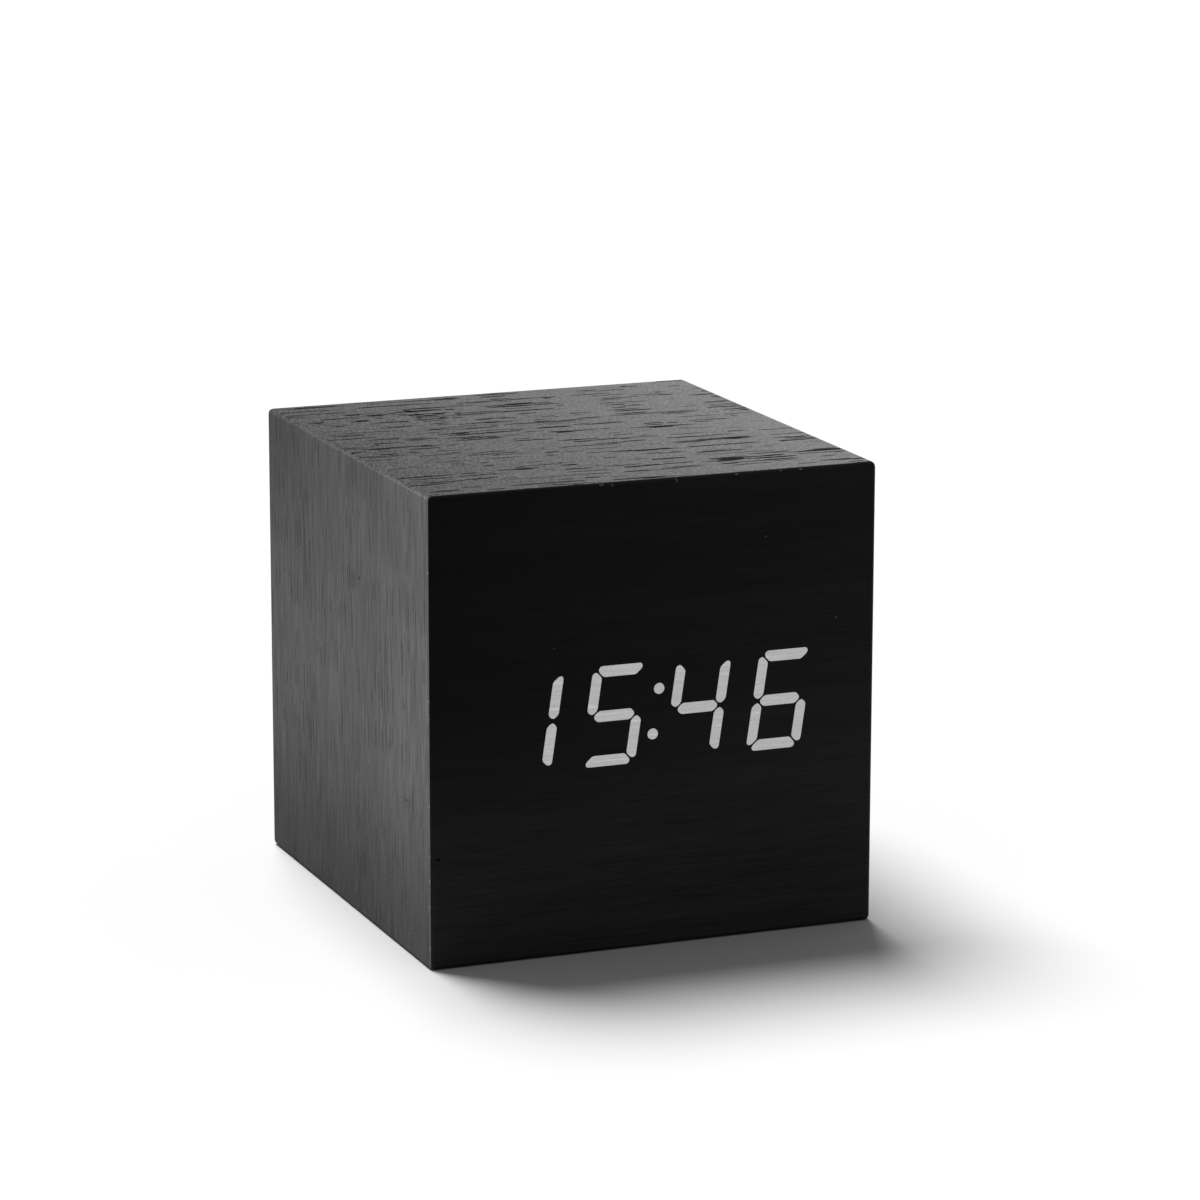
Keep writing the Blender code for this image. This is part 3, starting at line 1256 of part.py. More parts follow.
def bend_between(start, start_heading, end, end_heading):
    """Points of a smooth bend between two places, along a heading at each."""
    first = start + start_heading
    second = end - end_heading
    points = []
    for k in range(LEAD_STEPS + 1):
        t = k / LEAD_STEPS
        s = 1 - t
        points.append(start * s ** 3 + first * 3 * s * s * t + second * 3 * s * t * t + end * t ** 3)
    return points


def build_leads():
    """Two wires from the solder tabs to the lower edge of the main board."""
    height = main_bottom + LEAD_PAD_EDGE
    tab_depth = contact_face + CONTACT_THICKNESS / 2
    ends = (
        ("battery_lead_red", cell_places[0], tab_depth, -LEAD_PAD_SPACING / 2, red_wire),
        ("battery_lead_black", cell_places[-1], -tab_depth, LEAD_PAD_SPACING / 2, black_wire),
    )
    for name, tab_across, tab_along, pad_across, material in ends:
        start = Vector((tab_across, tab_along, tab_top + SEAT))
        end = Vector((pad_across, main_board_front - SEAT, height))
        path = bend_between(start, Vector((0, 0, LEAD_RISE)), end, Vector((0, LEAD_RUN, 0)))
        mesh = tube_mesh(name, path, LEAD_DIAMETER, 1)
        show_as_part(placed(name, mesh, (0, 0, 0)), material)


build_case()
build_display()
build_ribbon_cable()
build_control_panel()
build_buttons()
build_main_board()
build_chip()
build_round_components()
build_power_socket()
build_battery_tray()
build_battery_door()
build_cells()
build_contacts()
build_leads()
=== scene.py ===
"""Looks of the small wooden cube alarm clock, in metres and in the frame of its solids.

The front with the digits faces -Y, +Z is up, and the origin is the middle of the underside.
"""
import functools
import math

import bmesh
import bpy
from mathutils import Matrix, Vector


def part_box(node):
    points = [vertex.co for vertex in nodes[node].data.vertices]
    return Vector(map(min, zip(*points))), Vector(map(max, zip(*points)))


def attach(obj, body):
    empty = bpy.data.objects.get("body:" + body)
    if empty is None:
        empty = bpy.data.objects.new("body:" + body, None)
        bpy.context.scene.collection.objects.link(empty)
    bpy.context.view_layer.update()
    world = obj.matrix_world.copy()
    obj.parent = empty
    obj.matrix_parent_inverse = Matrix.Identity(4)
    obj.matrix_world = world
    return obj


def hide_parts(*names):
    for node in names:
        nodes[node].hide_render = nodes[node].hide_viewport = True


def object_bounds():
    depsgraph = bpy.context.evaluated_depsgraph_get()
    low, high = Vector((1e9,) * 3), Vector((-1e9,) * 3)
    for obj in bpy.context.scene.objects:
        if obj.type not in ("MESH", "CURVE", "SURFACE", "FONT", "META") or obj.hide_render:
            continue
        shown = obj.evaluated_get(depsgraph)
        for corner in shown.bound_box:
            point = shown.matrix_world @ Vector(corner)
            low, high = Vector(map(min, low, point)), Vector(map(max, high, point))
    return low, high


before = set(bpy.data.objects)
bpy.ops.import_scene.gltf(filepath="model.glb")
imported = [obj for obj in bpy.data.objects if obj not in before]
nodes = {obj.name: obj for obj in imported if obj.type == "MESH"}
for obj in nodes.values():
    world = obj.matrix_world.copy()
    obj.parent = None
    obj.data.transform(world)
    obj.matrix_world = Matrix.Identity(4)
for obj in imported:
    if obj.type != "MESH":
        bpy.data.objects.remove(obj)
solid_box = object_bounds()

MM = 0.001
BUTTONS = ("set", "up", "down")
CELLS = (1, 2, 3)
SIDES = ("top", "right", "bottom", "left", "front", "back")
OUT = Vector((0, 1, 0))
DOWN = Vector((0, 0, -1))
FACE_BACK = (-math.pi / 2, 0, 0)

# Rounding of the case's edges, as in the solids, and the half sizes of the case
EDGE = 0.75
HALF_WIDTH = solid_box[1].x / MM
HALF_DEPTH = solid_box[1].y / MM
HEIGHT = solid_box[1].z / MM


# Shader maths

class Value:
    """A socket of a material, on which arithmetic adds Math nodes."""

    def __init__(self, finish, socket):
        self.finish = finish
        self.socket = socket

    def __add__(self, other):
        return self.finish.maths("ADD", self, other)

    __radd__ = __add__

    def __sub__(self, other):
        return self.finish.maths("SUBTRACT", self, other)

    def __rsub__(self, other):
        return self.finish.maths("SUBTRACT", other, self)

    def __mul__(self, other):
        return self.finish.maths("MULTIPLY", self, other)

    __rmul__ = __mul__

    def __truediv__(self, other):
        return self.finish.maths("DIVIDE", self, other)

    def __lt__(self, other):
        return self.finish.maths("LESS_THAN", self, other)

    def __gt__(self, other):
        return self.finish.maths("GREATER_THAN", self, other)

    def __abs__(self):
        return self.finish.maths("ABSOLUTE", self)

    def at_least(self, other):
        return self.finish.maths("MAXIMUM", self, other)


def strongest(masks):
    """The highest of several masks at each place."""
    return functools.reduce(Value.at_least, masks)


class Finish:
    """A procedural material: its nodes, and the Principled shader that they end in."""

    def __init__(self, name, **constants):
        self.material = bpy.data.materials.new(name)
        self.material.use_nodes = True
        self.tree = self.material.node_tree
        self.shader = self.tree.nodes["Principled BSDF"]
        self.set(**constants)
        self.place = self.node("ShaderNodeTexCoord", output="Object")

    def node(self, kind, settings=None, inputs=None, output=0):
        """Adds a node, its settings first, and gives one output, or all by name where output is None."""
        made = self.tree.nodes.new(kind)
        for name, setting in (settings or {}).items():
            if name == "stops":
                ramp = made.color_ramp
                while len(ramp.elements) < len(setting):
                    ramp.elements.new(1)
                for element, (place, shade) in zip(ramp.elements, setting):
                    element.position = place
                    element.color = (*shade, 1)
            else:
                setattr(made, name, setting)
        for name, value in (inputs or {}).items():
            self.feed(made.inputs[name], value)
        if output is None:
            return {socket.name: Value(self, socket) for socket in made.outputs}
        return Value(self, made.outputs[output])

    def feed(self, socket, value):
        """Links a value to a socket, or sets a plain one on it."""
        if isinstance(value, Value):
            self.tree.links.new(value.socket, socket)
        elif socket.type == "RGBA" and len(value) == 3:
            socket.default_value = (*value, 1)
        else:
            socket.default_value = value

    def set(self, **inputs):
        """Feeds the shader's own sockets, with underscores for the blanks in their names."""
        for name, value in inputs.items():
            self.feed(self.shader.inputs[name.replace("_", " ")], value)

    def maths(self, operation, *values):
        return self.node("ShaderNodeMath", {"operation": operation}, dict(enumerate(values)))

    def mix(self, share, first, second):
        """One colour over another."""
        return self.node("ShaderNodeMix", {"data_type": "RGBA"}, {0: share, 6: first, 7: second}, 2)

    def grey(self, light, blue=1.0):
        """A grey of a given light, a little bluer or yellower."""
        return self.node("ShaderNodeCombineColor", {}, {0: light, 1: light, 2: light * blue})

    def split(self, vector):
        """The three parts of a vector or a colour."""
        return list(self.node("ShaderNodeSeparateXYZ", {}, {0: vector}, None).values())

    def axes(self):
        """The three coordinates of the place, in millimetres."""
        return [part / MM for part in self.split(self.place)]

    def vector(self, x, y, z):
        return self.node("ShaderNodeCombineXYZ", {}, {0: x, 1: y, 2: z})

    def noise(self, x, y, z, detail=2, rough=0.5):
        """Cloudy noise from 0 to 1, with features about one unit wide."""
        return self.node("ShaderNodeTexNoise", {},
                         {"Vector": self.vector(x, y, z), "Scale": 1, "Detail": detail, "Roughness": rough})

    def step(self, value, low, high, below=0, above=1):
        """A soft step from one value to another."""
        return self.node("ShaderNodeMapRange", {"interpolation_type": "SMOOTHSTEP"},
                         {"Value": value, "From Min": low, "From Max": high,
                          "To Min": below, "To Max": above})

    def shades(self, value, *stops):
        """A colour ramp over a value."""
        return self.node("ShaderNodeValToRGB", {"stops": stops}, {0: value})

    def bump(self, height, depth):
        """Lets a height from 0 to 1 tilt the surface, with its depth in millimetres."""
        self.set(Normal=self.node("ShaderNodeBump", {}, {"Distance": depth * MM, "Height": height}))

    def on(self, *pieces):
        """Gives this finish to pieces, or to nodes of the frame by their names."""
        for piece in pieces:
            mesh = (nodes[piece] if isinstance(piece, str) else piece).data
            mesh.materials.clear()
            mesh.materials.append(self.material)


# Veneer

PORE_BLACK = (0.003, 0.003, 0.003)
SPECK_BLACK = (0.02, 0.02, 0.02)
KNOT_BLACK = (0.0012, 0.0012, 0.0012)
TORN_PALE = (0.14, 0.14, 0.14)
GREY_SIDES = ("top", "left", "right")

# Pores of the top, in millimetres: length, pitch and thickness, then their share, shift and strength
PORE_LAYERS = (((16, 1.25, 0.53), 0.38, 3, 1), ((7.5, 1.05, 0.5), 0.28, 17, 1),
               ((3.6, 0.9, 0.46), 0.12, 31, 0.9))
CURLY_PLACE = (-18, 22.5)
CURLY_HALF_SIZES = (13, 5)
TOP_TILT = 0.03

# Marks, in millimetres on their faces: place, half sizes and, for a torn fibre, its lean
SIDE_SPECKS = (((-6.2, 50.5), (0.35, 0.3)), ((-26, 22.5), (0.3, 0.25)))
KNOT = ((-32.8, 16.2), (0.45, 0.25))
TORN_FIBRES = (((-8.2, 67.75), (0.4, 0.1), 0), ((-6.6, 67.6), (0.1, 0.22), -0.3),
               ((3.1, 67.6), (0.1, 0.3), -0.5), ((12.3, 67.75), (0.3, 0.1), 0),
               ((19.1, 67.8), (0.25, 0.08), 0), ((22.2, 67.75), (0.3, 0.1), 0),
               ((16.8, 58.5), (0.13, 0.11), 0), ((27.9, 45.8), (0.15, 0.11), 0),
               ((-15.4, 45.0), (0.1, 0.1), 0))


def pores(finish, along, across, length, pitch, thickness, amount, shift):
    """Slim pores along the grain: one in each cell whose draw is below the amount."""
    u = along / length + shift
    v = across / pitch + shift
    cell = finish.node("ShaderNodeTexVoronoi", {"voronoi_dimensions": "2D"},
                       {"Vector": finish.vector(u, v, 0), "Scale": 1, "Randomness": 0.75}, None)
    draw, long_draw, thick_draw = finish.split(cell["Color"])
    middle_u, middle_v, _ = finish.split(cell["Position"])
    half_length = 0.14 + 0.34 * long_draw
    half_thickness = thickness / (2 * pitch) * (0.65 + 0.7 * thick_draw)
    off_u = (u - middle_u) / half_length
    off_v = (v - middle_v) / half_thickness
    reach = off_u * off_u * off_u * off_u + off_v * off_v
    return finish.step(reach, 0.75, 1.2, 1, 0) * (draw < amount)


def top_veneer():
    """Open-pored veneer, stained black, with the grey sheen that light from behind gives it painted into its
    colour.
    """
    finish = Finish("top_veneer", Specular_IOR_Level=0.03)
    x, y, z = finish.axes()
    sway = finish.noise(x / 26, y / 8, 0, 1)
    ragged = finish.noise(x / 2.2, y / 0.8, 4, 1)
    along = x - TOP_TILT * y
    across = y + TOP_TILT * x + 1.6 * sway + 0.3 * ragged
    rows = finish.noise(along / 24, across / 1.5, 3, 1)
    bands = finish.noise(along / 60, across / 7, 8, 1)
    amount = finish.step(0.65 * rows + 0.35 * bands, 0.43, 0.60, 0.06, 1.6)
    layers = [strength * pores(finish, along, across, *sizes, share * amount, shift)
              for sizes, share, shift, strength in PORE_LAYERS]
    off_x = (x - CURLY_PLACE[0]) / CURLY_HALF_SIZES[0]
    off_y = (y - CURLY_PLACE[1]) / CURLY_HALF_SIZES[1]
    curly = finish.step(off_x * off_x + off_y * off_y, 0.5, 1.2, 1, 0)
    wavy = across + 1.2 * finish.noise(x / 1.8, y / 3, 7, 1)
    layers.append(0.9 * pores(finish, along, wavy, 3.2, 1.4, 1.0, 0.40 * curly, 43))
    dark = strongest(layers) * finish.step(abs(x), HALF_WIDTH - EDGE * 0.65, HALF_WIDTH - EDGE * 0.45, 1, 0)
    clouds = finish.noise(along / 18, across / 4, 5, 3)
    streaks = finish.noise(along / 9, across / 0.5, 9, 3, 0.6)
    speckle = finish.noise(x / 0.3, y / 0.9, z / 0.3, 2, 0.8)
    # Painted sheen: the grey base, lighter towards +x, stands in for light from behind on the black stain;
    # clouds, streaks and speckle are grain.
    light = 0.151 + 0.0019 * x + 0.04 * (clouds - 0.5) + 0.07 * (streaks - 0.5) + 0.36 * (speckle - 0.5)
    # Painted highlight along the rounded left edge.
    painted_left_highlight = finish.step(x, EDGE * 0.4 - HALF_WIDTH, EDGE * 0.55 - HALF_WIDTH, 1, 0)
    light = light * (1 + 0.6 * painted_left_highlight)
    finish.set(Base_Color=finish.mix(dark, finish.grey(light), PORE_BLACK),
               Roughness=0.62 + 0.2 * (speckle - 0.5) + 0.25 * dark)
    finish.bump(0.4 * streaks + 0.3 * speckle - dark, 0.05)
    return finish


def side_veneer():
    """Closer veneer with its grain upright, its grey a painted sheen, with painted light and shade: lighter
    towards the front, darker low down, at the top and at the upper back.
    """
    finish = Finish("side_veneer", Specular_IOR_Level=0.04)
    x, y, z = finish.axes()
    sway = finish.noise(x / 20, y / 12, z / 45, 1)
    across = y + 1.2 * sway
    fine = finish.noise(x / 5, across / 0.4, z / 7, 3, 0.6)
    broad = finish.noise(x / 5, across / 1.8, z / 22, 2)
    clouds = finish.noise(x / 5, y / 12, z / 16, 1)
    cluster = finish.step(finish.noise(x / 5, y / 8, z / 18, 1, 0.5), 0.42, 0.62)
    flames = pores(finish, z, across, 7, 0.9, 0.42, 0.12 + 0.5 * cluster, 5)
    dust = finish.noise(x / 0.4, y / 0.5, z / 0.4, 1)
    rise = z / HEIGHT
    # Painted light and shade: darker towards the bottom and the top, darker at the upper back, lighter
    # towards the front.
    painted_shade_by_height = finish.step(rise, 0.02, 0.45, 0.48, 1) * finish.step(rise, 0.6, 1.0, 1, 0.86)
    back = finish.step(y, 0, 32) * finish.step(rise, 0.5, 0.95)
    painted_light_and_shade = painted_shade_by_height * finish.step(y, -32, -8, 1, 0.84) * (0.98 - 0.0026 * y) * (1 - 0.25 * back)
    # Painted sheen: the grey base stands in for light on the black stain; the noises are grain.
    light = (0.155 + 0.25 * (fine - 0.5) + 0.06 * (broad - 0.5) + 0.05 * (clouds - 0.5)) * painted_light_and_shade
    light = light * (1 - 0.32 * flames) + 0.06 * (dust - 0.5)
    # Painted highlight along the top and front edges.
    edge = finish.step(z, HEIGHT - EDGE * 0.7, HEIGHT - EDGE * 0.5).at_least(
        finish.step(y, EDGE - HALF_DEPTH, EDGE * 1.3 - HALF_DEPTH, 1, 0))
    specks = strongest(spot(finish, y, z, *mark) for mark in SIDE_SPECKS)
    face = finish.grey(light * (1 + 0.4 * edge), 1.01)
    finish.set(Base_Color=finish.mix(specks * 0.8, face, SPECK_BLACK), Roughness=0.6 + 0.15 * (fine - 0.5))
    finish.bump(fine + 0.4 * broad - 0.3 * flames, 0.03)
    return finish


def dark_veneer(name, shade):
    """Black veneer with a faint level grain."""
    finish = Finish(name, Specular_IOR_Level=0.03)
    x, y, z = finish.axes()
    across = z + 1.5 * finish.noise(x / 35, y / 35, z / 12, 1)
    fine = finish.noise(x / 11, y / 9, across / 0.35, 3, 0.6)
    broad = finish.noise(x / 45, y / 20, across / 3.5, 2)
    light = shade * (1.3 * fine + 0.7 * broad)
    finish.set(Roughness=0.5 + 0.25 * (fine - 0.5))
    finish.bump(fine + 0.3 * broad, 0.03)
    return finish, light, fine, (x, y, z)


def spot(finish, across, rise, place, reach, lean=0):
    """A small mark on a face: 1 on it, from its middle, its half sizes and its lean."""
    off_rise = (rise - place[1]) / reach[1]
    off_across = (across - place[0] - lean * (rise - place[1])) / reach[0]
    return finish.step(off_rise * off_rise + off_across * off_across, 0.4, 1.2, 1, 0)


def front_veneer():
    """The dark front, with painted light and shade that leave it darkest at its top left, with torn fibres,
    and a painted highlight with lighter nicks at its left edge.
    """
    finish, light, fine, (x, y, z) = dark_veneer("front_veneer", 0.0056)
    # Painted light and shade: lighter towards the bottom, darker near the top, lighter towards the right.
    light = light * finish.step(z, 0, 45, 2.7, 1) * finish.step(z, 40, 66, 1, 0.8)
    light = light * (1 + 0.012 * x * finish.step(z, 10, 40))
    pale = strongest(spot(finish, x, z, *fibre) for fibre in TORN_FIBRES)
    knot = spot(finish, x, z, *KNOT)
    face = finish.mix(pale * 0.45, finish.grey(light, 1.03), TORN_PALE)
    face = finish.mix(knot, face, KNOT_BLACK)
    # The left-facing half of the rounded edge is painted in the sides' sheen grey as a highlight, with
    # lighter nicks.
    corner = HALF_DEPTH - HALF_WIDTH
    left_highlight_strip = finish.step(x - y, corner - 0.26, corner - 0.12, 1, 0)
    nicks = finish.step(finish.noise(x, y, z / 0.9, 1), 0.62, 0.7)
    painted_side_sheen = finish.grey(0.17 + 0.08 * (fine - 0.5) + 0.12 * nicks)
    finish.set(Base_Color=finish.mix(left_highlight_strip, face, painted_side_sheen))
    return finish


def plain_dark_veneer(name, shade):
    """The dark veneer of a side with no marks of its own."""
    finish, light, _, _ = dark_veneer(name, shade)
    finish.set(Base_Color=finish.grey(light, 1.03))
    return finish


# Lit digits

def lit_guide():
    """Light through the thin veneer: even, with the faint level grain of the wood."""
    finish = Finish("lit_guide", Base_Color=(0.05, 0.05, 0.05), Roughness=0.6, Specular_IOR_Level=0.1)
    x, y, z = finish.axes()
    across = z + 0.03 * x
    fine = finish.noise(x / 4, y, across / 0.25, 3, 0.6)
    lines = finish.step(finish.noise(x / 14, y, across / 0.45, 1), 0.64, 0.7)
    speckle = finish.noise(x / 0.28, y / 0.3, z / 0.28, 2, 0.7)
    light = 0.392 + 0.18 * (fine - 0.5) + 0.07 * lines + 0.2 * (speckle - 0.5)
    finish.set(Emission_Color=finish.grey(light, 1.01), Emission_Strength=1)
    return finish


# Plain finishes

SPARK_DEPTH = 0.006
TRACK_PITCH = 1.27
STEEL_LIGHT = 0.5
BAND_START = 11.4


def moulded(name, colour, roughness, grain):
    """Moulded plastic with a fine spark-eroded texture."""
    finish = Finish(name, Specular_IOR_Level=0.4)
    x, y, z = finish.axes()
    texture = finish.noise(x / grain, y / grain, z / grain, 2, 0.6)
    cloud = finish.noise(x / 9, y / 9, z / 9, 2)
    finish.set(Base_Color=finish.mix(0.6 * texture + 0.4 * cloud, tuple(0.8 * part for part in colour),
                                     tuple(1.2 * part for part in colour)),
               Roughness=roughness + 0.2 * (texture - 0.5) + 0.1 * (cloud - 0.5))
    finish.bump(texture, SPARK_DEPTH)
    return finish


def fibreboard():
    """Raw fibreboard, brown and clumped."""
    finish = Finish("fibreboard", Specular_IOR_Level=0.1, Roughness=0.85)
    x, y, z = finish.axes()
    fibres = finish.noise(x / 0.5, y / 0.5, z / 0.5, 4, 0.7)
    clumps = finish.noise(x / 3, y / 3, z / 3, 2)
    finish.set(Base_Color=finish.shades(0.7 * fibres + 0.3 * clumps, (0.3, (0.2, 0.13, 0.07)),
                                        (0.5, (0.32, 0.22, 0.13)), (0.7, (0.45, 0.33, 0.2))))
    finish.bump(fibres, 0.08)
    return finish


def circuit_board():
    """Green board with copper tracks under its mask."""
    finish = Finish("circuit_board", Specular_IOR_Level=0.5)
    x, y, z = finish.axes()
    glass = finish.noise(x / 0.4, y, z / 0.4, 1)
    lane = finish.maths("FRACT", x / TRACK_PITCH)
    rung = finish.noise(finish.maths("FLOOR", x / TRACK_PITCH) * 3.1, 0, z / 7, 0)
    track = finish.step(abs(lane - 0.5), 0.16, 0.2, 1, 0) * (0.5 < rung)
    share = track * 0.75 + 0.2 * (glass - 0.5)
    finish.set(Base_Color=finish.mix(share, (0.012, 0.11, 0.04), (0.04, 0.26, 0.09)),
               Roughness=0.3 + 0.1 * glass)
    finish.bump(track, 0.03)
    return finish


def steel():
    """Plated steel, lightly brushed and stained."""
    finish = Finish("plated_steel", Metallic=1)
    x, y, z = finish.axes()
    brushed = finish.noise(x / 0.06, y / 0.6, z / 0.06, 2)
    stain = finish.noise(x / 1.5, y / 1.5, z / 1.5, 3)
    finish.set(Base_Color=finish.grey(STEEL_LIGHT + 0.16 * (stain - 0.5), 1.01),
               Roughness=0.22 + 0.2 * brushed + 0.15 * stain)
    finish.bump(brushed, 0.004)
    return finish


def sleeve(name, way):
    """Plain two-tone film round a cell, with a pale band at its positive end."""
    finish = Finish(name, Metallic=0.35)
    x, y, z = finish.axes()
    grain = finish.noise(x / 0.3, y / 0.3, z / 0.3, 2)
    band = finish.step(y * way, BAND_START, BAND_START + 0.1)
    finish.set(Base_Color=finish.mix(band, finish.mix(grain, (0.02, 0.10, 0.06), (0.03, 0.13, 0.08)),
                                     finish.mix(grain, (0.5, 0.5, 0.48), (0.58, 0.58, 0.56))),
               Roughness=0.26 + 0.12 * grain)
    finish.bump(grain, 0.004)
    return finish


# Bench work

ROUND_BELOW = math.radians(40)
SAME_DEPTH = 0.01 * MM


class Work:
    """A piece on the bench: a primitive at its size and place that is then shaped in edit mode."""

    def __init__(self, name, add, **settings):
        bpy.ops.object.select_all(action="DESELECT")
        add(**settings)
        self.piece = bpy.context.object
        self.piece.name = self.piece.data.name = name
        bpy.ops.object.transform_apply(location=True, rotation=True, scale=True)
        bpy.ops.object.mode_set(mode="EDIT")

    def pick(self, kind, test):
        """Selects the faces, edges or vertices that pass a test, and nothing else."""
        bpy.ops.mesh.select_mode(type={"faces": "FACE", "edges": "EDGE", "verts": "VERT"}[kind])
        bpy.ops.mesh.select_all(action="DESELECT")
        shape = bmesh.from_edit_mesh(self.piece.data)
        for part in getattr(shape, kind):
            if test(part):
                part.select_set(True)
        bmesh.update_edit_mesh(self.piece.data)
        return self

    def face_towards(self, way, depth):
        """Selects the flat faces that look one way at a depth along it."""
        return self.pick("faces", lambda face: face.normal.dot(way) > 0.99
                         and abs(face.calc_center_median().dot(way) - depth) < SAME_DEPTH)

    def rim(self, way, depth, radius, centre):
        """Selects the edges of a circle about a centre, at a depth along its axis."""
        def on_rim(vertex):
            out = vertex.co - centre
            return (abs(vertex.co.dot(way) - depth) < SAME_DEPTH
                    and abs((out - out.dot(way) * way).length - radius) < 2 * SAME_DEPTH)
        return self.pick("edges", lambda edge: all(on_rim(vertex) for vertex in edge.verts))

    def extrude(self, way):
        bpy.ops.mesh.extrude_region_move(TRANSFORM_OT_translate={"value": way})
        return self

    def move(self, way):
        bpy.ops.transform.translate(value=way)
        return self

    def widen(self, share):
        """Scales what is selected about its own middle."""
        shape = bmesh.from_edit_mesh(self.piece.data)
        chosen = [vertex.co for vertex in shape.verts if vertex.select]
        middle = sum(chosen, Vector()) / len(chosen)
        bpy.ops.transform.resize(value=(share, share, share), center_override=middle)
        return self

    def inset(self, width):
        bpy.ops.mesh.inset(thickness=width)
        return self

    def bevel(self, width, segments):
        bpy.ops.mesh.bevel(offset=width, segments=segments, affect="EDGES")
        return self

    def done(self):
        """Takes the piece off the bench, with round faces shaded smooth."""
        bpy.ops.mesh.select_all(action="SELECT")
        bpy.ops.mesh.normals_make_consistent(inside=False)
        bpy.ops.object.mode_set(mode="OBJECT")
        bpy.ops.object.shade_smooth_by_angle(angle=ROUND_BELOW)
        return self.piece


def only(piece):
    """Selects one piece and makes it the active one."""
    bpy.ops.object.select_all(action="DESELECT")
    piece.select_set(True)
    bpy.context.view_layer.objects.active = piece
    return piece


def apply_modifier(piece, kind, **settings):
    only(piece)
    modifier = piece.modifiers.new(kind.lower(), kind)
    for name, value in settings.items():
        setattr(modifier, name, value)
    bpy.ops.object.modifier_apply(modifier=modifier.name)


def carve(piece, *tools):
    """Cuts tools out of a piece and puts the tools away."""
    for tool in tools:
        apply_modifier(piece, "BOOLEAN", operation="DIFFERENCE", object=tool)
        bpy.data.objects.remove(tool, do_unlink=True)
    only(piece)
    bpy.ops.object.shade_smooth_by_angle(angle=ROUND_BELOW)
    return piece


def copy_of(piece, name, shift):
    """A copy with its own mesh, moved by a shift that its mesh takes on."""
    only(piece)
    bpy.ops.object.duplicate(linked=False)
    twin = bpy.context.object
    twin.name = twin.data.name = name
    twin.location = shift
    bpy.ops.object.transform_apply(location=True, rotation=False, scale=False)
    return twin


def settle(piece, body, slot, *stands_for):
    """Lets a piece ride on its body and stands for nodes of the frame; its slot is not used."""
    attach(piece, body)
    if stands_for:
        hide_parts(*stands_for)
    return piece


def middle_of(node):
    low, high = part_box(node)
    return (low + high) / 2


# Veneers with round edges

MERGE_WITHIN = 0.001 * MM
FLAT_WITHIN = math.radians(1)
SHARP_ABOVE = math.radians(50)


def refined(node, slot, body="case", soft_edge=0):
    """A merged copy of a solid that stands for it, with soft edges or with its round ones shaded as one."""
    copy = bpy.data.objects.new("fine_" + node, nodes[node].data.copy())
    bpy.context.scene.collection.objects.link(copy)
    only(copy)
    bpy.ops.object.mode_set(mode="EDIT")
    bpy.ops.mesh.select_all(action="SELECT")
    bpy.ops.mesh.remove_doubles(threshold=MERGE_WITHIN)
    bpy.ops.mesh.dissolve_limited(angle_limit=FLAT_WITHIN)
    bpy.ops.object.mode_set(mode="OBJECT")
    if soft_edge:
        apply_modifier(copy, "BEVEL", width=soft_edge, segments=2, limit_method="ANGLE",
                       angle_limit=SHARP_ABOVE)
    bpy.ops.object.shade_smooth_by_angle(angle=SHARP_ABOVE)
    apply_modifier(copy, "WEIGHTED_NORMAL", keep_sharp=True, weight=100)
    return settle(copy, body, slot, node)


veneers = {}
for side in SIDES:
    veneers[side] = refined("veneer_" + side, "grey_veneer" if side in GREY_SIDES else "dark_veneer")
# The top and side veneers carry painted sheen grey over their black stain; the front carries painted light
# and shade.
top_veneer().on(veneers["top"])
side_veneer().on(veneers["left"], veneers["right"])
front_veneer().on(veneers["front"])
plain_dark_veneer("back_veneer", 0.009).on(veneers["back"])
plain_dark_veneer("bottom_veneer", 0.010).on(veneers["bottom"])
lit_guide().on(*[f"digit_{number}_light_guide" for number in range(1, 5)], "colon_light_guide")


# Plastics: colour, roughness and the size of their texture in millimetres
PLASTICS = {"black_plastic": ((0.017, 0.017, 0.018), 0.5, 0.12),
            "white_plastic": ((0.72, 0.72, 0.70), 0.4, 0.12),
            "chip_plastic": ((0.022, 0.022, 0.022), 0.6, 0.05),
            "grey_cable": ((0.4, 0.4, 0.41), 0.45, 0.12),
            "red_wire": ((0.45, 0.02, 0.02), 0.35, 0.12),
            "black_wire": ((0.015, 0.015, 0.015), 0.35, 0.12)}

plastics = {name: moulded(name, *look) for name, look in PLASTICS.items()}
black = plastics["black_plastic"]
white = plastics["white_plastic"]
black.on("display_mask", "buzzer")
white.on(*["plunger_" + word for word in BUTTONS])
plastics["chip_plastic"].on("controller_chip", *["switch_" + word for word in BUTTONS])
plastics["grey_cable"].on("ribbon_cable")
plastics["red_wire"].on("battery_lead_red")
plastics["black_wire"].on("battery_lead_black")
fibreboard().on(*["board_" + side for side in SIDES])
circuit_board().on("display_board", "main_board")
bright = steel()
bright.on("display_screw_left", "display_screw_right", "board_screw_left", "board_screw_right", "microphone",
          "clock_crystal", "contact_front_bridge", "contact_front_negative", "contact_back_positive",
          "contact_back_bridge")


# Moulded shells

SHELL_EDGE = 0.12 * MM
DOOR_EDGE = 0.15 * MM

black.on(refined("control_panel", "black_plastic", soft_edge=SHELL_EDGE),
         refined("battery_tray", "black_plastic", soft_edge=SHELL_EDGE),
         refined("battery_door", "black_plastic", "door", soft_edge=DOOR_EDGE))


# Buttons

CAP_RADIUS = 3.1 * MM
CAP_EDGE = 0.4 * MM

# Rings of the cap's dish, from its rim inwards: width, and how far each sinks
CAP_DISH = ((0.35 * MM, 0), (0.5 * MM, 0.07 * MM), (0.6 * MM, 0.07 * MM), (0.6 * MM, 0.04 * MM),
            (0.5 * MM, 0.01 * MM))
FLANGE_THICKNESS = 0.8 * MM
STEM_RADIUS = 1.5 * MM
STEM_LENGTH = 2 * MM


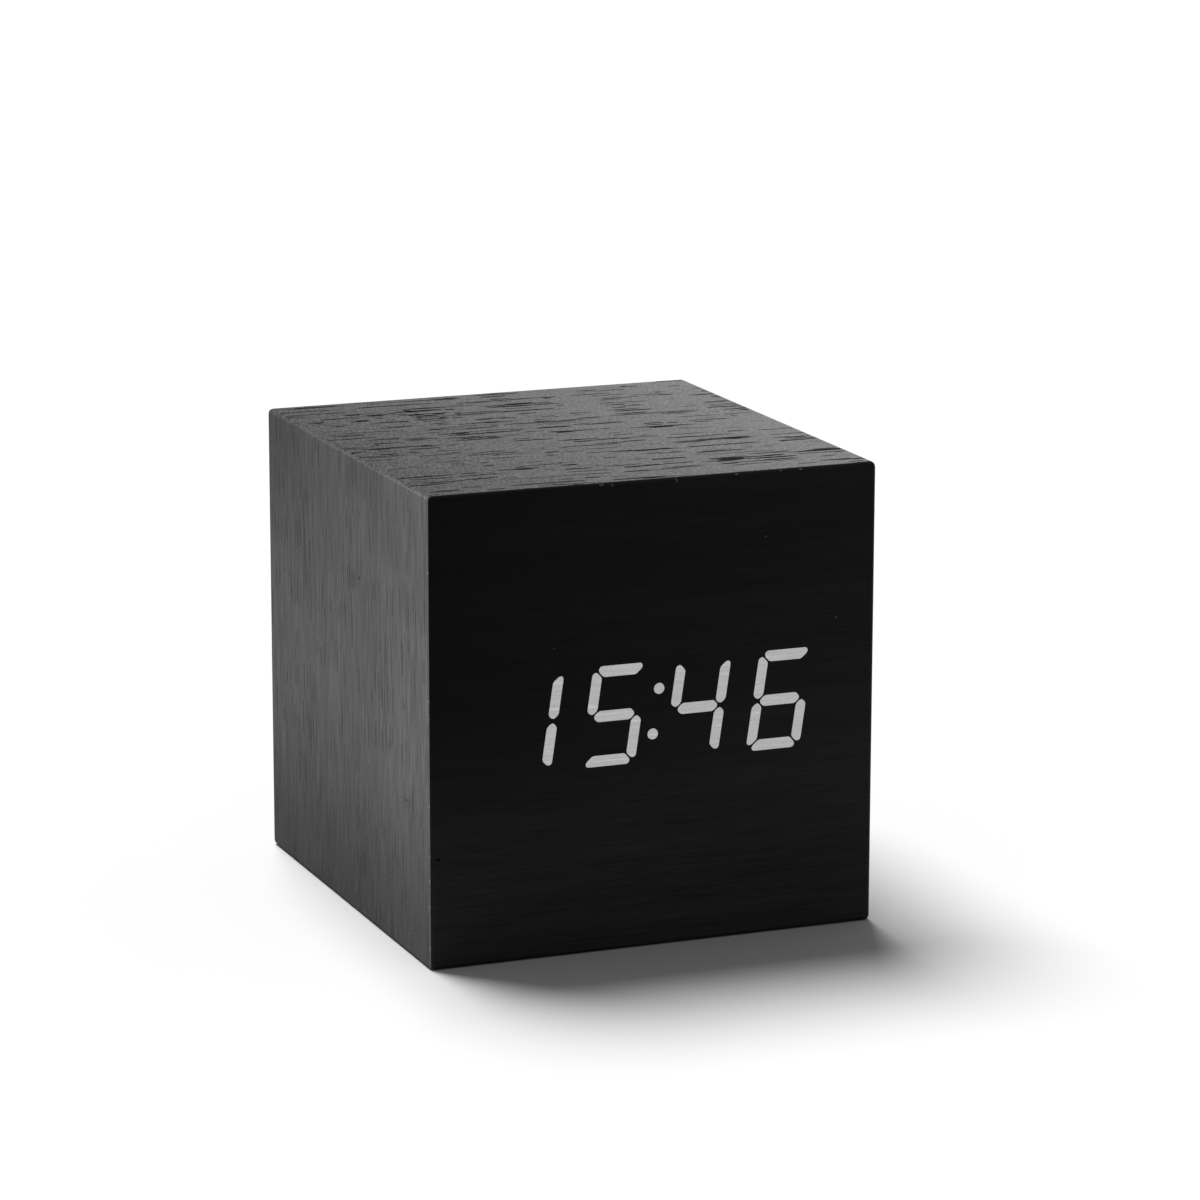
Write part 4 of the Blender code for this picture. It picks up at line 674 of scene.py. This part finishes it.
def button():
    """A moulded button: a dished cap with a round rim, its flange behind the panel and its stem."""
    low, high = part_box("button_" + BUTTONS[0])
    middle = (low + high) / 2
    flange_back = low.y + STEM_LENGTH + FLANGE_THICKNESS
    work = Work("cap_" + BUTTONS[0], bpy.ops.mesh.primitive_cylinder_add, vertices=72, radius=CAP_RADIUS,
                depth=high.y - flange_back, rotation=FACE_BACK,
                location=(middle.x, (high.y + flange_back) / 2, middle.z))
    work.rim(OUT, high.y, CAP_RADIUS, middle).bevel(CAP_EDGE, 6)
    work.face_towards(OUT, high.y)
    for width, sink in CAP_DISH:
        work.inset(width).move((0, -sink, 0))
    work.face_towards(-OUT, -flange_back).extrude((0, 0, 0)).widen((high.x - low.x) / 2 / CAP_RADIUS)
    work.extrude((0, -FLANGE_THICKNESS, 0)).extrude((0, 0, 0)).widen(2 * STEM_RADIUS / (high.x - low.x))
    work.extrude((0, -STEM_LENGTH, 0))
    return work.done()


first_cap = button()
caps = [first_cap]
for word in BUTTONS[1:]:
    shift = middle_of("button_" + word) - middle_of("button_" + BUTTONS[0])
    caps.append(copy_of(first_cap, "cap_" + word, shift))
for word, cap in zip(BUTTONS, caps):
    settle(cap, "push_" + word, "black_plastic", "button_" + word)
black.on(*caps)


# Raised marks beside the buttons: a ring and two arrow heads

MARK_RISE = 5.5 * MM
MARK_PROUD = 0.12 * MM
MARK_RADIUS = 0.95 * MM
MARK_STROKE = 0.28 * MM
MARK_EDGE = 0.05 * MM


def mark(word, corners, turn):
    """A small raised mark above a button, with soft edges."""
    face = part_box("control_panel")[1].y
    place = middle_of("button_" + word)
    work = Work("mark_" + word, bpy.ops.mesh.primitive_cylinder_add, vertices=corners, radius=MARK_RADIUS,
                depth=2 * MARK_PROUD, rotation=(FACE_BACK[0], turn, 0),
                location=(place.x, face, place.z + MARK_RISE))
    work.face_towards(OUT, face + MARK_PROUD)
    if corners > 3:
        work.inset(MARK_STROKE).extrude((0, -MARK_PROUD, 0))
    work.pick("edges", lambda edge: all(vertex.co.y > face + MARK_PROUD * 0.9 for vertex in edge.verts))
    work.bevel(MARK_EDGE, 3)
    return settle(work.done(), "case", "white_plastic")


white.on(mark("set", 40, 0), mark("up", 3, 0), mark("down", 3, math.pi))


# Screws with cross recesses

RECESS_DEPTH = 0.6 * MM
RECESS_WIDE_SHARE = 0.24
RECESS_FLOOR_SHARE = 0.55
TIP_LENGTH = 0.8 * MM
TIP_SHARE = 0.15

PAN_HEAD = 1 * MM
PAN_EDGE = 0.5 * MM
PAN_SHANK_SHARE = 0.5
PAN_RECESS = 1.9 * MM

SUNK_RIM = 0.2 * MM
SUNK_EDGE = 0.06 * MM
SUNK_CONE = 0.9 * MM
SUNK_SHANK_SHARE = 0.47
SUNK_RECESS = 2 * MM


def cross_tools(place, way, width):
    """Two crossed wedges that cut a recess into a screw's head, from the middle of its face."""
    tools = []
    narrow = RECESS_WIDE_SHARE * width
    for long, wide in ((width, narrow), (narrow, width)):
        scale = (long, 2 * RECESS_DEPTH, wide) if way is OUT else (long, wide, 2 * RECESS_DEPTH)
        work = Work("recess", bpy.ops.mesh.primitive_cube_add, size=1, scale=scale, location=place)
        work.pick("faces", lambda face: face.normal.dot(way) < -0.99).widen(RECESS_FLOOR_SHARE)
        tools.append(work.done())
    return tools


def pan_screw():
    """A pan head on its shank, whose face lies towards the back."""
    low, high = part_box("panel_screw_lower")
    middle = (low + high) / 2
    radius = (high.x - low.x) / 2
    base = high.y - PAN_HEAD
    work = Work("pan_screw_lower", bpy.ops.mesh.primitive_cylinder_add, vertices=48, radius=radius,
                depth=PAN_HEAD, rotation=FACE_BACK, location=(middle.x, high.y - PAN_HEAD / 2, middle.z))
    work.rim(OUT, high.y, radius, middle).bevel(PAN_EDGE, 6)
    work.face_towards(-OUT, -base).extrude((0, 0, 0)).widen(PAN_SHANK_SHARE)
    work.extrude((0, low.y + TIP_LENGTH - base, 0)).extrude((0, -TIP_LENGTH, 0)).widen(TIP_SHARE)
    face = Vector((middle.x, high.y, middle.z))
    return carve(work.done(), *cross_tools(face, OUT, PAN_RECESS))


def sunk_screw():
    """A countersunk head on its shank, whose face lies downwards."""
    low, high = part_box("tray_screw_1")
    middle = (low + high) / 2
    radius = (high.x - low.x) / 2
    shank = high.z - low.z - SUNK_RIM - SUNK_CONE - TIP_LENGTH
    work = Work("sunk_screw_1", bpy.ops.mesh.primitive_cylinder_add, vertices=48, radius=radius,
                depth=SUNK_RIM, location=(middle.x, middle.y, low.z + SUNK_RIM / 2))
    work.rim(DOWN, -low.z, radius, middle).bevel(SUNK_EDGE, 2)
    work.face_towards(-DOWN, low.z + SUNK_RIM).extrude((0, 0, SUNK_CONE)).widen(SUNK_SHANK_SHARE)
    work.extrude((0, 0, shank)).extrude((0, 0, TIP_LENGTH)).widen(TIP_SHARE)
    face = Vector((middle.x, middle.y, low.z))
    return carve(work.done(), *cross_tools(face, DOWN, SUNK_RECESS))


pan = pan_screw()
pan_twin = copy_of(pan, "pan_screw_upper", middle_of("panel_screw_upper") - middle_of("panel_screw_lower"))
settle(pan, "case", "plated_steel", "panel_screw_lower")
settle(pan_twin, "case", "plated_steel", "panel_screw_upper")
sunk = [sunk_screw()]
for number in (2, 3, 4):
    shift = middle_of(f"tray_screw_{number}") - middle_of("tray_screw_1")
    sunk.append(copy_of(sunk[0], f"sunk_screw_{number}", shift))
for number, screw in enumerate(sunk, start=1):
    settle(screw, "case", "plated_steel", f"tray_screw_{number}")
bright.on(pan, pan_twin, *sunk)


# Power socket

NOSE_RADIUS = 3 * MM
NOSE_LENGTH = 8 * MM
NOSE_PROUD = 1.6 * MM
NOSE_EDGE = 0.2 * MM
WELL_SHARE = 0.98
HOUSING_EDGE = 0.3 * MM
BORE_RADIUS = 1.8 * MM
BORE_DEPTH = 7 * MM
LEAD_IN = 0.3 * MM
PIN_RADIUS = 0.65 * MM
PIN_LENGTH = 5 * MM
PIN_ROUND = 0.4 * MM


def socket_housing():
    """A soft-edged block with a round nose, whose bore has a lead-in."""
    low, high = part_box("power_socket")
    middle = (low + high) / 2
    shoulder = high.y - NOSE_PROUD
    block = Work("socket_housing", bpy.ops.mesh.primitive_cube_add, size=1,
                 scale=(high.x - low.x, shoulder - low.y, high.z - low.z),
                 location=(middle.x, (shoulder + low.y) / 2, middle.z))
    block.pick("edges", lambda edge: True).bevel(HOUSING_EDGE, 3)
    block.done()
    well = Work("socket_well", bpy.ops.mesh.primitive_cylinder_add, vertices=64,
                radius=NOSE_RADIUS * WELL_SHARE, depth=BORE_DEPTH, rotation=FACE_BACK,
                location=(middle.x, shoulder, middle.z))
    carve(block.piece, well.done())
    nose = Work("socket_nose", bpy.ops.mesh.primitive_cylinder_add, vertices=64, radius=NOSE_RADIUS,
                depth=NOSE_LENGTH, rotation=FACE_BACK,
                location=(middle.x, high.y - NOSE_LENGTH / 2, middle.z))
    nose.face_towards(OUT, high.y).inset(NOSE_RADIUS - BORE_RADIUS).extrude((0, -BORE_DEPTH, 0))
    nose.rim(OUT, high.y, BORE_RADIUS, middle).bevel(LEAD_IN, 3)
    nose.rim(OUT, high.y, NOSE_RADIUS, middle).bevel(NOSE_EDGE, 3)
    nose.done()
    only(block.piece)
    nose.piece.select_set(True)
    bpy.ops.object.join()
    return settle(block.piece, "case", "black_plastic", "power_socket")


def socket_pin():
    """The round-tipped pin in the socket's bore."""
    low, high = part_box("power_socket")
    middle = (low + high) / 2
    floor_depth = high.y - BORE_DEPTH
    tip = floor_depth + PIN_LENGTH
    work = Work("socket_pin", bpy.ops.mesh.primitive_cylinder_add, vertices=32, radius=PIN_RADIUS,
                depth=PIN_LENGTH, rotation=FACE_BACK, location=(middle.x, (floor_depth + tip) / 2, middle.z))
    work.rim(OUT, tip, PIN_RADIUS, middle).bevel(PIN_ROUND, 5)
    return settle(work.done(), "case", "plated_steel")


black.on(socket_housing())
bright.on(socket_pin())


# Battery cells

CAN_RADIUS = 4.6 * MM
NIPPLE_RADIUS = 1.9 * MM
NIPPLE_LENGTH = 0.9 * MM
NIPPLE_EDGE = 0.25 * MM
CAN_LIP = 0.7 * MM
CAN_RIM = 0.9 * MM
CAN_DISH = 0.1 * MM
FILM_SHORT = 0.15 * MM
FILM_EDGE = 0.5 * MM


def cell(number):
    """A cell: a film round a steel can whose two ends show, with its nipple to the back or front."""
    low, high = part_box(f"battery_cell_{number}")
    middle = (low + high) / 2
    way = 1 if number % 2 else -1
    plus, minus = (high.y, low.y) if way > 0 else (low.y, high.y)
    shoulder = plus - way * NIPPLE_LENGTH
    film_ends = (shoulder - way * FILM_SHORT, minus + way * FILM_SHORT)
    radius = (high.x - low.x) / 2
    film = Work(f"cell_film_{number}", bpy.ops.mesh.primitive_cylinder_add, vertices=80, radius=radius,
                depth=abs(film_ends[0] - film_ends[1]), rotation=FACE_BACK,
                location=(middle.x, sum(film_ends) / 2, middle.z))
    for end in film_ends:
        film.rim(OUT, end, radius, middle).bevel(FILM_EDGE, 5)
    film_piece = settle(film.done(), "case", "cell_label", f"battery_cell_{number}")
    can = Work(f"cell_can_{number}", bpy.ops.mesh.primitive_cylinder_add, vertices=64, radius=CAN_RADIUS,
               depth=abs(shoulder - minus), rotation=FACE_BACK,
               location=(middle.x, (shoulder + minus) / 2, middle.z))
    can.face_towards(OUT * way, shoulder * way).inset(CAN_LIP).inset(CAN_RADIUS - CAN_LIP - NIPPLE_RADIUS)
    can.extrude((0, way * NIPPLE_LENGTH, 0))
    can.rim(OUT, plus, NIPPLE_RADIUS, middle).bevel(NIPPLE_EDGE, 3)
    can.face_towards(-OUT * way, -minus * way).inset(CAN_RIM).extrude((0, way * CAN_DISH, 0))
    can_piece = settle(can.done(), "case", "plated_steel")
    return film_piece, can_piece, way


films = {1: sleeve("cell_sleeve_back", 1), -1: sleeve("cell_sleeve_front", -1)}
for number in CELLS:
    film_piece, can_piece, way = cell(number)
    films[way].on(film_piece)
    bright.on(can_piece)


# Floor, light and camera

KEY = Vector((-0.094, 0.422, 0.902))
KEY_WIDTH = math.radians(29)
KEY_STRENGTH = 1.74
FLOOR_STRENGTH = 9.9
FLOOR_SIZE = 10
FLOOR_GREY = (0.208, 0.208, 0.208)
FLOOR_SEEN = (0.265, 0.265, 0.265)
DAYLIGHT = 0.5
SEEN_RAYS = ("Is Camera Ray", "Is Glossy Ray", "Is Transmission Ray")

# The camera: where it aims, its turn, rise and tip, its distance, side steps and lens in millimetres
AIM = Vector((0, 0, 0.0341))
CAMERA_TURN = math.radians(-21.921)
CAMERA_RISE = math.radians(12.962)
CAMERA_TIP = math.radians(0.0899)
CAMERA_DISTANCE = 0.710869
CAMERA_RIGHT = 0.005385
CAMERA_UP = 0.008751
LENS = 144.051
FAR_CLIP = 50


def floor():
    """A wide pale floor, whose own lamp makes it white and leaves the clock's shadow on it."""
    bpy.ops.object.select_all(action="DESELECT")
    bpy.ops.mesh.primitive_plane_add(size=FLOOR_SIZE)
    sheet = bpy.context.object
    sheet.name = "floor"
    finish = Finish("floor", Roughness=1, Specular_IOR_Level=0)
    path = finish.node("ShaderNodeLightPath", output=None)
    seen = strongest(path[ray] for ray in SEEN_RAYS)
    finish.set(Base_Color=finish.mix(seen, FLOOR_GREY, FLOOR_SEEN))
    sheet.data.materials.append(finish.material)
    return sheet


def sun(name, strength, alone=None):
    """A wide soft sun from behind, high up and a little left, for all or for one thing alone."""
    light = bpy.data.lights.new(name, "SUN")
    light.angle = KEY_WIDTH
    light.energy = strength
    holder = bpy.data.objects.new(name, light)
    bpy.context.scene.collection.objects.link(holder)
    holder.rotation_euler = KEY.to_track_quat("Z", "Y").to_euler()
    if alone:
        lit = bpy.data.collections.new(name + "_lights")
        lit.objects.link(alone)
        holder.light_linking.receiver_collection = lit


def daylight(strength):
    """An even white world, as bright as white paper wherever it is seen or mirrored."""
    world = bpy.data.worlds.new("studio")
    bpy.context.scene.world = world
    world.use_nodes = True
    tree = world.node_tree
    back = tree.nodes["Background"]
    back.inputs["Color"].default_value = (1, 1, 1, 1)
    path = tree.nodes.new("ShaderNodeLightPath")
    seen = path.outputs[SEEN_RAYS[0]]
    for ray in SEEN_RAYS[1:]:
        either = tree.nodes.new("ShaderNodeMath")
        either.operation = "MAXIMUM"
        tree.links.new(seen, either.inputs[0])
        tree.links.new(path.outputs[ray], either.inputs[1])
        seen = either.outputs[0]
    level = tree.nodes.new("ShaderNodeMapRange")
    level.inputs["To Min"].default_value = strength
    level.inputs["To Max"].default_value = 1
    tree.links.new(seen, level.inputs["Value"])
    tree.links.new(level.outputs[0], back.inputs["Strength"])


def camera():
    """The photograph's camera, found from the outlines of the case."""
    flat = math.cos(CAMERA_RISE)
    back = Vector((math.sin(CAMERA_TURN) * flat, -math.cos(CAMERA_TURN) * flat, math.sin(CAMERA_RISE)))
    right = (-back).cross(Vector((0, 0, 1))).normalized()
    up = right.cross(-back)
    place = AIM + CAMERA_DISTANCE * back + CAMERA_RIGHT * right + CAMERA_UP * up
    level = Matrix((right, up, back)).transposed().to_4x4()
    eye = bpy.data.cameras.new("camera")
    eye.lens = LENS
    eye.sensor_width = 36
    eye.clip_end = FAR_CLIP
    holder = bpy.data.objects.new("camera", eye)
    bpy.context.scene.collection.objects.link(holder)
    holder.matrix_world = Matrix.Translation(place) @ level @ Matrix.Rotation(CAMERA_TIP, 4, "Z")
    bpy.context.scene.camera = holder


ground = floor()
sun("key_sun", KEY_STRENGTH)
sun("floor_sun", FLOOR_STRENGTH, alone=ground)
daylight(DAYLIGHT)
camera()
bpy.context.scene.view_settings.view_transform = "Standard"
